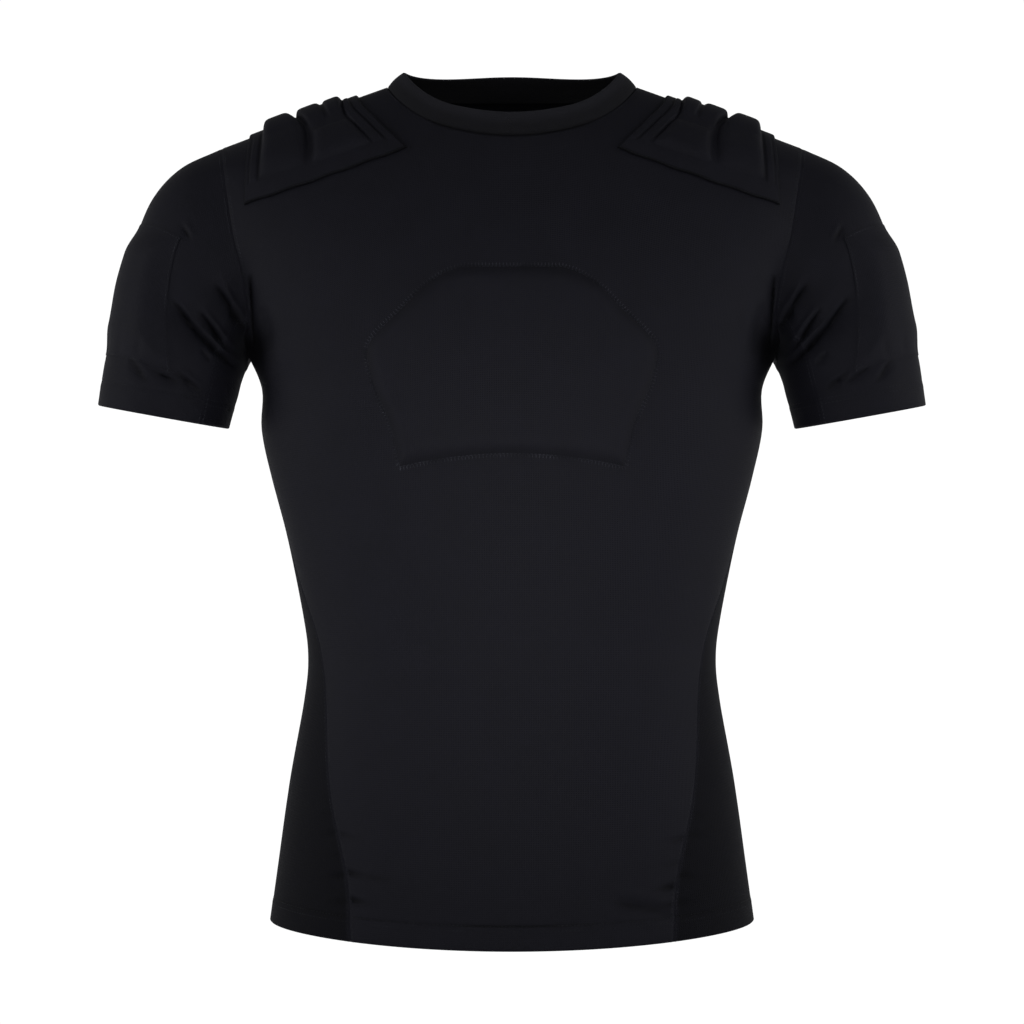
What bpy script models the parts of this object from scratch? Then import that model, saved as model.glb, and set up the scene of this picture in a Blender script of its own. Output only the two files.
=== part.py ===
"""Short-sleeved padded rugby top, hollow and filled out as it is worn.

Metres, +Z up, front facing -Y. The origin lies between the shoulders, where the wearer
holds the garment up. The cloth is one sewn surface: panels share their seam points, and
each panel becomes a wall along the normals of that shared surface.
"""
import math

import bmesh
import bpy
from mathutils import Vector

for old in list(bpy.data.objects):
    bpy.data.objects.remove(old, do_unlink=True)

# Cloth and seams
KNIT_WALL = 0.0016
COLLAR_WALL = 0.0022
SEAM_GAP = 0.0003
FOLD_BACK_LIMIT = 0.5
PAD_CLEARANCE = 0.0007

# Body rings, hem to shoulder ridge. Widths and depths are half sizes from the centre line;
# z_edge is the height at the side seam or armhole, and the seams are degrees round the ring
# from the centre of the front and of the back.
BODY_COLUMNS = ("z_front", "z_back", "z_edge", "half_width", "front", "back", "front_seam", "back_seam")
BODY_ROWS = {
    "hem": (-0.6385, -0.6375, -0.6280, 0.1880, 0.120, 0.126, 37.0, 46.0),
    "seat": (-0.584, -0.584, -0.583, 0.1817, 0.117, 0.122, 40.5, 48.0),
    "hip": (-0.521, -0.521, -0.521, 0.1730, 0.112, 0.112, 50.5, 52.0),
    "low_waist": (-0.459, -0.459, -0.459, 0.1619, 0.108, 0.101, 59.0, 56.0),
    "waist": (-0.427, -0.427, -0.427, 0.1587, 0.1065, 0.097, 64.0, 58.0),
    "low_ribs": (-0.396, -0.396, -0.396, 0.1619, 0.107, 0.098, 69.0, 60.0),
    "ribs": (-0.334, -0.334, -0.334, 0.1743, 0.112, 0.106, 84.0, 64.0),
    "low_chest": (-0.287, -0.287, -0.287, 0.1865, 0.1165, 0.113, 90.0, 67.0),
    "chest": (-0.248, -0.248, -0.248, 0.1948, 0.119, 0.119, 92.0, 70.0),
    "high_chest": (-0.217, -0.217, -0.217, 0.1946, 0.1195, 0.1215, 93.0, 72.0),
    "underarm": (-0.191, -0.191, -0.190, 0.2055, 0.1185, 0.122, 94.0, 74.0),
    "low_armhole": (-0.164, -0.164, -0.165, 0.2137, 0.1165, 0.1225, 70.5, 68.0),
    "armhole": (-0.127, -0.124, -0.130, 0.2324, 0.111, 0.1225, 60.8, 60.4),
    "blade": (-0.092, -0.086, -0.100, 0.2494, 0.103, 0.118, 56.5, 56.7),
    "collarbone": (-0.055, -0.044, -0.070, 0.2588, 0.088, 0.103, 55.2, 56.0),
    "slope": (-0.014, 0.004, -0.0430, 0.2660, 0.060, 0.070, 54.7, 55.2),
    "ridge": (0.0427, 0.0427, -0.0290, 0.2700, 0.0, 0.0, 54.7, 54.7),
}
RING_POWER = 0.87
SHOULDER_BEND = 0.05
HEM_POWER = 1.9
ROWS_PER_LOW_RING = 1
ROWS_PER_ARMHOLE_RING = 2
ROWS_PER_SHOULDER_RING = 4

# Neck seam: an ellipse in plan, and the collar band that stands on it
NECK_HALF_WIDTH = 0.0975
NECK_FRONT = 0.070
NECK_BACK = 0.055
COLLAR_TOP_HALF_WIDTH = 0.0846
COLLAR_TOP_FRONT = 0.062
COLLAR_TOP_BACK = 0.052
COLLAR_RISE_FRONT = 0.0185
COLLAR_RISE_SIDE = 0.0115
COLLAR_RISE_BACK = 0.0165
COLLAR_ROWS = 3
NECK_COLUMNS = 6
SHOULDER_COLUMNS = 7
SIDE_COLUMNS = 6
HALVINGS = 40

# Sleeve rings, armhole to cuff: the outer and the inner end of each ring and its half depth
SLEEVE_COLUMNS = ("outer_x", "outer_z", "inner_x", "inner_z", "half_depth", "y")
SLEEVE_ROWS = {
    "armhole": (0.2265, -0.0290, 0.2055, -0.190, 0.0660, 0.006),
    "cap": (0.2572, -0.0440, 0.2070, -0.1945, 0.0655, 0.004),
    "shoulder": (0.2787, -0.0665, 0.2070, -0.200, 0.0645, 0.003),
    "pad_top": (0.2925, -0.097, 0.2090, -0.204, 0.0630, 0.002),
    "pad": (0.3030, -0.131, 0.2117, -0.212, 0.0615, 0.000),
    "low_pad": (0.3092, -0.164, 0.2140, -0.222, 0.0600, -0.002),
    "pad_end": (0.3165, -0.195, 0.2178, -0.235, 0.0585, -0.003),
    "cuff": (0.3214, -0.2285, 0.2207, -0.2465, 0.0570, -0.004),
}
SLEEVE_POWER = 0.92
GUSSET_AT_ARMHOLE = math.radians(130.0)
GUSSET_AT_CUFF = math.radians(129.0)

# Soft creases pressed into the front and back at the underarm
FOLD_COLUMNS = ("start_x", "start_z", "end_x", "end_z", "width", "depth")
FOLD_START_SHARE = 0.15
FOLD_ROWS = {
    "armhole_front": (0.2040, -0.130, 0.2050, -0.190, 0.012, 0.006),
    "sleeve_upper": (0.2290, -0.140, 0.2080, -0.168, 0.010, 0.004),
    "sleeve_lower": (0.2600, -0.152, 0.2240, -0.190, 0.010, 0.004),
}

# Chest pad: rows down its height, half width at each, and the rise of its arched lower edge
CHEST_PAD_COLUMNS = ("z", "half_width")
CHEST_PAD_ROWS = {
    "top": (-0.1290, 0.0365),
    "top_corner": (-0.1325, 0.0490),
    "upper": (-0.1437, 0.0663),
    "slant": (-0.1616, 0.0834),
    "side_top": (-0.1817, 0.1050),
    "side": (-0.1913, 0.1095),
    "lower_side": (-0.2182, 0.1028),
    "lower": (-0.2450, 0.0905),
    "bottom": (-0.2778, 0.0834),
}
CHEST_PAD_ARCH = 0.0097
CHEST_PAD_EDGE = 0.0012
CHEST_PAD_CROWN = 0.0042
CHEST_PAD_COLUMN_COUNT = 12

# Shoulder pad: lines over the shoulder from its neck edge to its arm edge, as x from the ridge to its
# front edge, and how far it reaches from the ridge, in rings. Across it is counted in these lines.
PAD_NECK_X = (0.1205, 0.1148, 0.1010, 0.0892, 0.0796)
PAD_NECK_STRIP = 0.0076
PAD_NECK_GROOVE = 0.0165
PAD_CUT_SHARE = 0.425
PAD_GROOVE_X = 0.1537
PAD_ARM_STRIP_X = (0.1925, 0.2003)
PAD_ARM_X = 0.2035
PAD_RIDGE_SHIFT = {"neck_groove": -0.0052, "groove": 0.0148}
PAD_RIDGE_SPREAD = 0.25
PAD_FRONT_EDGE = {"neck": 1.38, "arm": 2.33}
PAD_BACK_EDGE = {"neck": 1.36, "arm": 2.20}
PAD_FLANGE = 0.0014
PAD_STRIP = 0.0022
PAD_BLOCK = 0.0072
PAD_GROOVE = 0.0022
PAD_ACROSS = (0.0, 0.2, 0.8, 1.0, 1.25, 1.75, 2.0, 2.15, 2.5, 2.85, 3.0, 3.15, 3.5, 3.85, 4.0, 4.12, 4.35, 4.65,
              4.88, 5.0, 5.2, 5.8, 6.0, 7.0)
PAD_ALONG = (-1.0, -0.83, -0.77, -0.71, -0.56, -0.42, -0.355, -0.29, -0.2, -0.12, -0.05, 0.0, 0.05, 0.13, 0.2,
             0.29, 0.355, 0.42, 0.56, 0.71, 0.77, 0.83, 1.0)
PAD_STRIPS = ((0.2, 0.8), (5.2, 5.8))
PAD_STRIP_END = 0.8
PAD_BLOCK_COLUMNS = ("low", "high", "near", "far", "height")
PAD_BLOCK_ROWS = {
    "neck_front": (1.0, 2.0, -0.77, -0.02, 0.55),
    "neck_back": (1.0, 2.0, 0.02, 0.77, 0.55),
    "middle_front": (2.0, 4.0, -0.77, -0.355, 0.95),
    "middle_back": (2.0, 4.0, 0.355, 0.77, 0.95),
    "ridge_inner": (2.0, 3.0, -0.355, 0.355, 0.90),
    "ridge_outer": (3.0, 4.0, -0.355, 0.355, 1.00),
    "arm_front": (4.0, 5.0, -0.77, 0.13, 1.00),
    "arm_back": (4.0, 5.0, 0.13, 0.77, 0.96),
}

# Biceps pad, in sleeve rings from the armhole and degrees round the sleeve from its outer side
BICEPS_TOP_OUTER = 2.75
BICEPS_TOP_SIDE = 1.75
BICEPS_BOTTOM_OUTER = 5.85
BICEPS_BOTTOM_SIDE = 5.45
BICEPS_ANGLE_TOP = math.radians(67.0)
BICEPS_ANGLE_BOTTOM = math.radians(93.0)
BICEPS_EDGE = 0.0012
BICEPS_CROWN = 0.0042
BICEPS_ACROSS = 14
BICEPS_ALONG = 10

COLLECTION_NAME = "padded_rugby_top"
FINISHES = {
    "body_knit": ((0.0130, 0.0135, 0.0165), 0.72),
    "side_knit": ((0.0095, 0.0100, 0.0125), 0.78),
    "collar_knit": ((0.0105, 0.0105, 0.0130), 0.80),
    "pad_knit": ((0.0120, 0.0120, 0.0150), 0.75),
}


def smooth(values, t):
    """Catmull-Rom curve through a list of values, one at each whole number."""
    last = len(values) - 1
    i = min(max(int(math.floor(t)), 0), last - 1)
    f = t - i
    p1, p2 = values[i], values[i + 1]
    p0 = values[i - 1] if i > 0 else 2.0 * p1 - p2
    p3 = values[i + 2] if i + 2 <= last else 2.0 * p2 - p1
    return 0.5 * (2.0 * p1 + (p2 - p0) * f + (2.0 * p0 - 5.0 * p1 + 4.0 * p2 - p3) * f * f
                  + (3.0 * p1 - p0 - 3.0 * p2 + p3) * f * f * f)


def power(value, exponent):
    """Power that keeps the sign."""
    return math.copysign(abs(value) ** exponent, value)


def columns_of(names, rows):
    """Table as one list a column."""
    return {name: [row[i] for row in rows.values()] for i, name in enumerate(names)}


BODY = columns_of(BODY_COLUMNS, BODY_ROWS)
SLEEVE = columns_of(SLEEVE_COLUMNS, SLEEVE_ROWS)
CHEST_PAD = columns_of(CHEST_PAD_COLUMNS, CHEST_PAD_ROWS)
FOLDS = [dict(zip(FOLD_COLUMNS, row)) for row in FOLD_ROWS.values()]
RIDGE = len(BODY_ROWS) - 1
BACK_HEM = 2 * RIDGE
UNDERARM = list(BODY_ROWS).index("underarm")
NECK_BEND = list(BODY_ROWS).index("armhole")
COLLARBONE = list(BODY_ROWS).index("collarbone")
CUFF = len(SLEEVE_ROWS) - 1
SLEEVE_BEND = list(SLEEVE_ROWS).index("pad")


def over_shoulder(front, back):
    """Column that runs from the front hem over the ridge to the back hem."""
    return front + back[-2::-1]


TRACK = {
    "z_mid": over_shoulder(BODY["z_front"], BODY["z_back"]),
    "z_edge": over_shoulder(BODY["z_edge"], BODY["z_edge"]),
    "half_width": over_shoulder(BODY["half_width"], BODY["half_width"]),
    "depth": over_shoulder([-d for d in BODY["front"]], BODY["back"]),
    "seam": [math.radians(a) for a in over_shoulder(BODY["front_seam"], BODY["back_seam"])],
}


def track(name, t):
    return smooth(TRACK[name], t)


def fold_press(x, z):
    """Depth of the creases at a place in the front view."""
    place = Vector((abs(x), z))
    press = 0.0
    for fold in FOLDS:
        start = Vector((fold["start_x"], fold["start_z"]))
        along = Vector((fold["end_x"], fold["end_z"])) - start
        share = min(max((place - start).dot(along) / along.length_squared, 0.0), 1.0)
        away = (place - start - along * share).length / fold["width"]
        swell = math.sin(math.pi * (FOLD_START_SHARE + (1.0 - FOLD_START_SHARE) * share))
        press = max(press, fold["depth"] * math.exp(-away * away) * swell)
    return press


def shoulder_bow(x):
    """Rounded V that lets a ring fall from the neck to the shoulder tip."""
    return math.hypot(x, SHOULDER_BEND) - SHOULDER_BEND


def body_point(t, angle):
    """Point of the body at track place t, an angle round the ring from that side's centre."""
    half_width = track("half_width", t)
    x = half_width * power(math.sin(angle), RING_POWER)
    facing = math.cos(angle)
    depth = track("depth", t if facing >= 0.0 else BACK_HEM - t)
    y = depth * abs(facing) ** RING_POWER
    z_mid, z_edge = track("z_mid", t), track("z_edge", t)
    edge_x = half_width * power(math.sin(track("seam", t)), RING_POWER)
    fall = min(shoulder_bow(x) / shoulder_bow(edge_x), 1.0)
    from_hem = min(t, BACK_HEM - t)
    if from_hem < 1.0:
        fall = fall * from_hem + abs(x / half_width) ** HEM_POWER * (1.0 - from_hem)
    z = z_mid + (z_edge - z_mid) * fall
    return Vector((x, y - math.copysign(fold_press(x, z), y), z))


def body_at_x(t, x):
    """Point of the body at track place t with a given x."""
    return body_point(t, math.asin(power(x / track("half_width", t), 1.0 / RING_POWER)))


def surface_normal(point_at, a, b, step=0.004):
    """Normal of a surface by differences of its point function."""
    return (point_at(a + step, b) - point_at(a - step, b)).cross(
        point_at(a, b + step) - point_at(a, b - step)).normalized()


def column_shares():
    """Columns of half a panel, as shares of the way from its centre to its edge."""
    ridge_width, ridge_seam = TRACK["half_width"][RIDGE], TRACK["seam"][RIDGE]
    shares = []
    for j in range(NECK_COLUMNS + 1):
        x = NECK_HALF_WIDTH * math.sin(0.5 * math.pi * j / NECK_COLUMNS)
        shares.append(math.asin((x / ridge_width) ** (1.0 / RING_POWER)) / ridge_seam)
    corner = shares[-1]
    shares += [corner + (1.0 - corner) * (j + 1) / SHOULDER_COLUMNS for j in range(SHOULDER_COLUMNS)]
    return shares


SHARES = column_shares()
HALF_COLUMNS = len(SHARES) - 1


def column_share(j):
    """Share of a column counted from the centre, below zero on the left."""
    return math.copysign(SHARES[abs(j)], j)


def neck_limit(share, toward):
    """Track place where a column meets the neck seam; toward is -1 on the front, 1 on the back."""
    neck_depth = NECK_FRONT if toward < 0 else NECK_BACK
    outside, inside = RIDGE + toward * (RIDGE - NECK_BEND), float(RIDGE)
    for _ in range(HALVINGS):
        t = 0.5 * (outside + inside)
        p = body_point(t, share * track("seam", t))
        if (p.x / NECK_HALF_WIDTH) ** 2 + (p.y / neck_depth) ** 2 < 1.0:
            inside = t
        else:
            outside = t
    return outside


def row_places():
    """Rows of a panel from the hem to the ridge."""
    places = []
    for ring in range(RIDGE):
        steps = ROWS_PER_LOW_RING
        if ring >= UNDERARM:
            steps = ROWS_PER_ARMHOLE_RING if ring < COLLARBONE else ROWS_PER_SHOULDER_RING
        places += [ring + k / steps for k in range(steps)]
    return places + [float(RIDGE)]


ROWS = row_places()
UNDERARM_ROW = ROWS.index(float(UNDERARM))


def panel_grid(toward):
    """Front (toward -1) or back (1) panel, hem row first, left column first."""
    limits = [neck_limit(share, toward) for share in SHARES[:NECK_COLUMNS]]
    limits += [float(RIDGE)] * (len(SHARES) - NECK_COLUMNS)
    grid = []
    for row in ROWS:
        line = []
        for j in range(-HALF_COLUMNS, HALF_COLUMNS + 1):
            t = row
            reach = abs(limits[abs(j)] - RIDGE)
            if row > NECK_BEND:
                t = NECK_BEND + (row - NECK_BEND) * (RIDGE - NECK_BEND - reach) / (RIDGE - NECK_BEND)
            if toward > 0:
                t = BACK_HEM - t
            line.append(body_point(t, column_share(j) * track("seam", t)))
        grid.append(line)
    return grid


def side_grid(side):
    """Side panel, hem row first, from its front seam to its back seam."""
    grid = []
    for row in ROWS[:UNDERARM_ROW + 1]:
        start = track("seam", row)
        end = math.pi - track("seam", BACK_HEM - row)
        angles = [start + (end - start) * k / SIDE_COLUMNS for k in range(SIDE_COLUMNS + 1)]
        points = [body_point(row, angle) for angle in angles]
        points[-1] = body_point(BACK_HEM - row, math.pi - end)
        grid.append([Vector((side * p.x, p.y, p.z)) for p in points])
    return grid


def armhole_ring():
    """Points of the right armhole: ridge, down the front, under the arm, up the back."""
    upper = ROWS[UNDERARM_ROW:]
    front = [body_point(t, track("seam", t)) for t in reversed(upper)]
    under = side_grid(1.0)[-1]
    back = [body_point(BACK_HEM - t, track("seam", BACK_HEM - t)) for t in upper]
    return front + under[1:-1] + back


def sleeve_point(t, angle):
    """Point of the plain right sleeve: ring t from the armhole, angle from its outer side."""
    outer = Vector((smooth(SLEEVE["outer_x"], t), 0.0, smooth(SLEEVE["outer_z"], t)))
    inner = Vector((smooth(SLEEVE["inner_x"], t), 0.0, smooth(SLEEVE["inner_z"], t)))
    point = (outer + inner) * 0.5 + (outer - inner) * (0.5 * power(math.cos(angle), SLEEVE_POWER))
    point.y = smooth(SLEEVE["y"], t) - smooth(SLEEVE["half_depth"], t) * power(math.sin(angle), SLEEVE_POWER)
    return point


def armhole_angles(ring):
    """Angle round the sleeve of each armhole point."""
    top = Vector((SLEEVE["outer_x"][0], SLEEVE["y"][0], SLEEVE["outer_z"][0]))
    bottom = Vector((SLEEVE["inner_x"][0], SLEEVE["y"][0], SLEEVE["inner_z"][0]))
    middle, reach = (top + bottom) * 0.5, (top - bottom) * 0.5
    angles = []
    for p in ring:
        up = (p - middle).dot(reach) / reach.length_squared
        forward = (middle.y - p.y) / SLEEVE["half_depth"][0]
        angles.append(math.atan2(forward, up) % (2.0 * math.pi))
    angles[0], angles[-1] = 0.0, 2.0 * math.pi
    return angles


ARMHOLE = armhole_ring()
ARMHOLE_ANGLES = armhole_angles(ARMHOLE)


def armhole_offset(angle):
    """How far the true armhole stands from the plain first ring at an angle."""
    angle %= 2.0 * math.pi
    j = max(k for k, a in enumerate(ARMHOLE_ANGLES[:-1]) if a <= angle)
    low, high = ARMHOLE_ANGLES[j], ARMHOLE_ANGLES[j + 1]
    share = (angle - low) / (high - low)
    start, end = (ARMHOLE[k] - sleeve_point(0.0, ARMHOLE_ANGLES[k]) for k in (j, j + 1))
    return start + (end - start) * share


def sleeve_surface(t, angle):
    """Point of the right sleeve, easing from the true armhole into the plain rings."""
    p = sleeve_point(t, angle) + armhole_offset(angle) * (1.0 - t / CUFF) ** 3
    if t > 0.0:
        p.y -= math.copysign(fold_press(p.x, p.z), p.y)
    return p


def column_angle(angle, t):
    """Angle of a sleeve column at ring t, with the gusset widening towards the cuff."""
    side = min(angle, 2.0 * math.pi - angle)
    if side < GUSSET_AT_ARMHOLE:
        widened = side * GUSSET_AT_CUFF / GUSSET_AT_ARMHOLE
    else:
        widened = math.pi - (math.pi - side) * (math.pi - GUSSET_AT_CUFF) / (math.pi - GUSSET_AT_ARMHOLE)
    moved = side + (widened - side) * t / CUFF
    return moved if angle <= math.pi else 2.0 * math.pi - moved


def sleeve_grid(side):
    """Whole sleeve, armhole ring first, round from the ridge by the front."""
    bent = [0.5 * k for k in range(1, 2 * SLEEVE_BEND)]
    grid = [ARMHOLE]
    for t in bent + list(range(SLEEVE_BEND, CUFF + 1)):
        grid.append([sleeve_surface(t, column_angle(angle, t)) for angle in ARMHOLE_ANGLES])
    return [[Vector((side * p.x, p.y, p.z)) for p in line] for line in grid]


def neck_ring(front, back):
    """Neck seam from the middle of the front round by the right."""
    middle = HALF_COLUMNS
    right = range(middle, middle + NECK_COLUMNS + 1)
    left = range(middle - NECK_COLUMNS, middle)
    ring = [front[-1][j] for j in right] + [back[-1][j] for j in reversed(right)][1:]
    ring += [back[-1][j] for j in reversed(left)] + [front[-1][j] for j in left][1:]
    return ring


def collar_grid(front, back):
    """Collar band from the neck seam to its top edge, leaning in."""
    base = neck_ring(front, back)
    grid = []
    for i in range(COLLAR_ROWS + 1):
        rise = i / COLLAR_ROWS
        line = []
        for p in base:
            depth_base = NECK_FRONT if p.y < 0.0 else NECK_BACK
            depth_top = COLLAR_TOP_FRONT if p.y < 0.0 else COLLAR_TOP_BACK
            rise_middle = COLLAR_RISE_FRONT if p.y < 0.0 else COLLAR_RISE_BACK
            height = COLLAR_RISE_SIDE + (rise_middle - COLLAR_RISE_SIDE) * (p.y / depth_base) ** 2
            lean_x = 1.0 + (COLLAR_TOP_HALF_WIDTH / NECK_HALF_WIDTH - 1.0) * rise
            lean_y = 1.0 + (depth_top / depth_base - 1.0) * rise
            line.append(Vector((p.x * lean_x, p.y * lean_y, p.z + height * rise)))
        grid.append(line + [line[0].copy()])
    return grid


def spot(point):
    """Place of a seam point, the same for all panels that share it."""
    return tuple(round(c * 1e6) for c in point)


def point_normals(grid, flip):
    """Sum of the face normals at each point of a panel."""
    normals = {}
    for low, high in zip(grid, grid[1:]):
        for a, b, c, d in zip(low, low[1:], high[1:], high):
            face = (c - a).cross(d - b) * (-1.0 if flip else 1.0)
            for p in (a, b, c, d):
                normals[spot(p)] = normals.get(spot(p), Vector()) + face
    return normals


def inward_steps(grid, closed):
    """Direction from each edge point of a panel into that panel."""
    steps = {}

    def add(i, j, k, m):
        place = spot(grid[i][j])
        steps[place] = steps.get(place, Vector()) + (grid[k][m] - grid[i][j]).normalized()

    for j in range(len(grid[0])):
        add(0, j, 1, j)
        add(-1, j, -2, j)
    if not closed:
        for i in range(len(grid)):
            add(i, 0, i, 1)
            add(i, -1, i, -2)
    return {place: step.normalized() for place, step in steps.items()}


class SewnSurface:
    """All cloth panels together: shared normals, and the seams that part them."""

    def __init__(self):
        self.panels = {}
        self.normals = {}
        self.group_normals = {}

    def add(self, name, grid, group, flip=False, closed=False):
        """Add a panel; those of one group run on smoothly into each other."""
        of_group = self.group_normals.setdefault(group, {})
        for place, normal in point_normals(grid, flip).items():
            self.normals[place] = self.normals.get(place, Vector()) + normal
            of_group[place] = of_group.get(place, Vector()) + normal
        steps = inward_steps(grid, closed)
        self.panels[name] = {"grid": grid, "group": group, "closed": closed, "steps": steps}

    def wall_normal(self, name, place):
        """Shared normal, or the group's own where the cloth folds back on itself."""
        shared = self.normals[place].normalized()
        own = self.group_normals[self.panels[name]["group"]][place].normalized()
        return shared if shared.dot(own) > FOLD_BACK_LIMIT else own

    def seam_shift(self, name, place):
        """Move that leaves half the seam gap between a panel and those sewn to it."""
        own = self.panels[name]["steps"].get(place)
        others = [panel["steps"][place] for other, panel in self.panels.items()
                  if other != name and place in panel["steps"]]
        if own is None or not others:
            return Vector()
        away = own - sum(others, Vector()) / len(others)
        return away.normalized() * (SEAM_GAP * 0.5)

    def make(self, name, finish, wall=KNIT_WALL):
        """Panel as a wall inside the sewn surface."""
        panel = self.panels[name]
        outer = [[p + self.seam_shift(name, spot(p)) for p in line] for line in panel["grid"]]
        inner = [[p - self.wall_normal(name, spot(q)) * wall for p, q in zip(line, at)]
                 for line, at in zip(outer, panel["grid"])]
        add_piece(name, closed_mesh(name, outer, inner, panel["closed"]), finish)


def closed_mesh(name, outer, inner, closed=False):
    """Solid between two like grids; a closed one wraps round its columns."""
    bm = bmesh.new()
    count = len(outer[0]) - 1 if closed else len(outer[0])
    skins = [[[bm.verts.new(p) for p in line[:count]] for line in grid] for grid in (outer, inner)]
    pairs = [(j, (j + 1) % count) for j in range(count if closed else count - 1)]
    for skin in skins:
        for low, high in zip(skin, skin[1:]):
            for j, k in pairs:
                bm.faces.new((low[j], low[k], high[k], high[j]))
    out, into = skins
    for i in (0, -1):
        for j, k in pairs:
            bm.faces.new((out[i][j], out[i][k], into[i][k], into[i][j]))
    if not closed:
        for j in (0, -1):
            for i in range(len(out) - 1):
                bm.faces.new((out[i][j], out[i + 1][j], into[i + 1][j], into[i][j]))
    bmesh.ops.triangulate(bm, faces=bm.faces[:], quad_method="SHORT_EDGE")
    bmesh.ops.recalc_face_normals(bm, faces=bm.faces[:])
    mesh = bpy.data.meshes.new(name)
    bm.to_mesh(mesh)
    bm.free()
    mesh.shade_smooth()
    mesh.set_sharp_from_angle(angle=math.radians(40.0))
    return mesh


def add_piece(name, mesh, finish):
    """Object of one piece, in the garment's collection and finish."""
    mesh.materials.append(MATERIALS[finish])
    obj = bpy.data.objects.new(name, mesh)
    GARMENT.objects.link(obj)
    return obj


def laid_piece(name, base, normals, heights, finish):
    """Pad that lies on a panel: the panel's own points moved out by a clearance and a height."""
    inner = [[p + n * PAD_CLEARANCE for p, n in zip(*pair)] for pair in zip(base, normals)]
    outer = [[p + n * h for p, n, h in zip(*trio)] for trio in zip(inner, normals, heights)]
    return add_piece(name, closed_mesh(name, outer, inner), finish)


def hump(share, low, high):
    """Rounded rise from low to high and back, 0 at both ends."""
    if share <= low or share >= high:
        return 0.0
    middle = 2.0 * (share - low) / (high - low) - 1.0
    return 1.0 - abs(middle) ** 4


def front_place(x, z):
    """Track place on the front of a point given in the front view."""
    low, high = 0.0, float(COLLARBONE)
    for _ in range(HALVINGS):
        t = 0.5 * (low + high)
        if body_at_x(t, x).z < z:
            low = t
        else:
            high = t
    return low


def make_chest_pad():
    """Chest pad: rows of the outline table, laid on the front and crowned."""
    last = len(CHEST_PAD_ROWS) - 1
    base, normals, heights = [], [], []
    for i in range(last + 1):
        line, line_normals, line_heights = [], [], []
        for j in range(CHEST_PAD_COLUMN_COUNT + 1):
            across = 2.0 * j / CHEST_PAD_COLUMN_COUNT - 1.0
            x = CHEST_PAD["half_width"][i] * across
            z = CHEST_PAD["z"][i] + CHEST_PAD_ARCH * (1.0 - across * across) * (i / last) ** 2
            t = front_place(x, z)
            line.append(body_at_x(t, x))
            line_normals.append(surface_normal(body_at_x, t, x) * -1.0)
            crown = (1.0 - across ** 6) * (1.0 - abs(2.0 * i / last - 1.0) ** 6)
            line_heights.append(CHEST_PAD_EDGE + (CHEST_PAD_CROWN - CHEST_PAD_EDGE) * crown)
        base.append(line)
        normals.append(line_normals)
        heights.append(line_heights)
    laid_piece("chest_pad", base, normals, heights, "pad_knit")


def shoulder_pad_height(across, along):
    """Flange, edge strips and rounded foam blocks with grooves between them."""
    on_strip = abs(along) < PAD_STRIP_END and any(low <= across <= high for low, high in PAD_STRIPS)
    height = PAD_STRIP if on_strip else PAD_FLANGE
    for row in PAD_BLOCK_ROWS.values():
        block = dict(zip(PAD_BLOCK_COLUMNS, row))
        rise = hump(across, block["low"], block["high"]) * hump(along, block["near"], block["far"])
        if rise > 0.0:
            height = PAD_GROOVE + (PAD_BLOCK * block["height"] - PAD_GROOVE) * rise
    return height


def shoulder_pad_x(across, along):
    """x of a place across the pad, counted in the lines that run over the shoulder."""
    neck = smooth(PAD_NECK_X, abs(along) * (len(PAD_NECK_X) - 1))
    at_ridge = math.exp(-((along / PAD_RIDGE_SPREAD) ** 2))
    neck_groove = neck + PAD_NECK_GROOVE + PAD_RIDGE_SHIFT["neck_groove"] * at_ridge
    groove = PAD_GROOVE_X + PAD_RIDGE_SHIFT["groove"] * at_ridge
    cut = neck_groove + (groove - neck_groove) * PAD_CUT_SHARE
    lines = (neck, neck + PAD_NECK_STRIP, neck_groove, cut, groove, *PAD_ARM_STRIP_X, PAD_ARM_X)
    i = min(int(across), len(lines) - 2)
    return lines[i] + (lines[i + 1] - lines[i]) * (across - i)


def make_shoulder_pad(name, side):
    """Shoulder pad from its neck strip to its arm strip, over the ridge."""
    base, normals, heights = [], [], []
    for along in PAD_ALONG:
        line, line_normals, line_heights = [], [], []
        for across in PAD_ACROSS:
            x = shoulder_pad_x(across, along)
            edge = PAD_FRONT_EDGE if along < 0.0 else PAD_BACK_EDGE
            outward = (x - PAD_NECK_X[-1]) / (PAD_ARM_X - PAD_NECK_X[-1])
            t = RIDGE + along * (edge["neck"] + (edge["arm"] - edge["neck"]) * outward)
            p, n = body_at_x(t, x), surface_normal(body_at_x, t, x) * -1.0
            line.append(Vector((side * p.x, p.y, p.z)))
            line_normals.append(Vector((side * n.x, n.y, n.z)))
            line_heights.append(shoulder_pad_height(across, along))
        base.append(line)
        normals.append(line_normals)
        heights.append(line_heights)
    laid_piece(name, base, normals, heights, "pad_knit")


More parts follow.
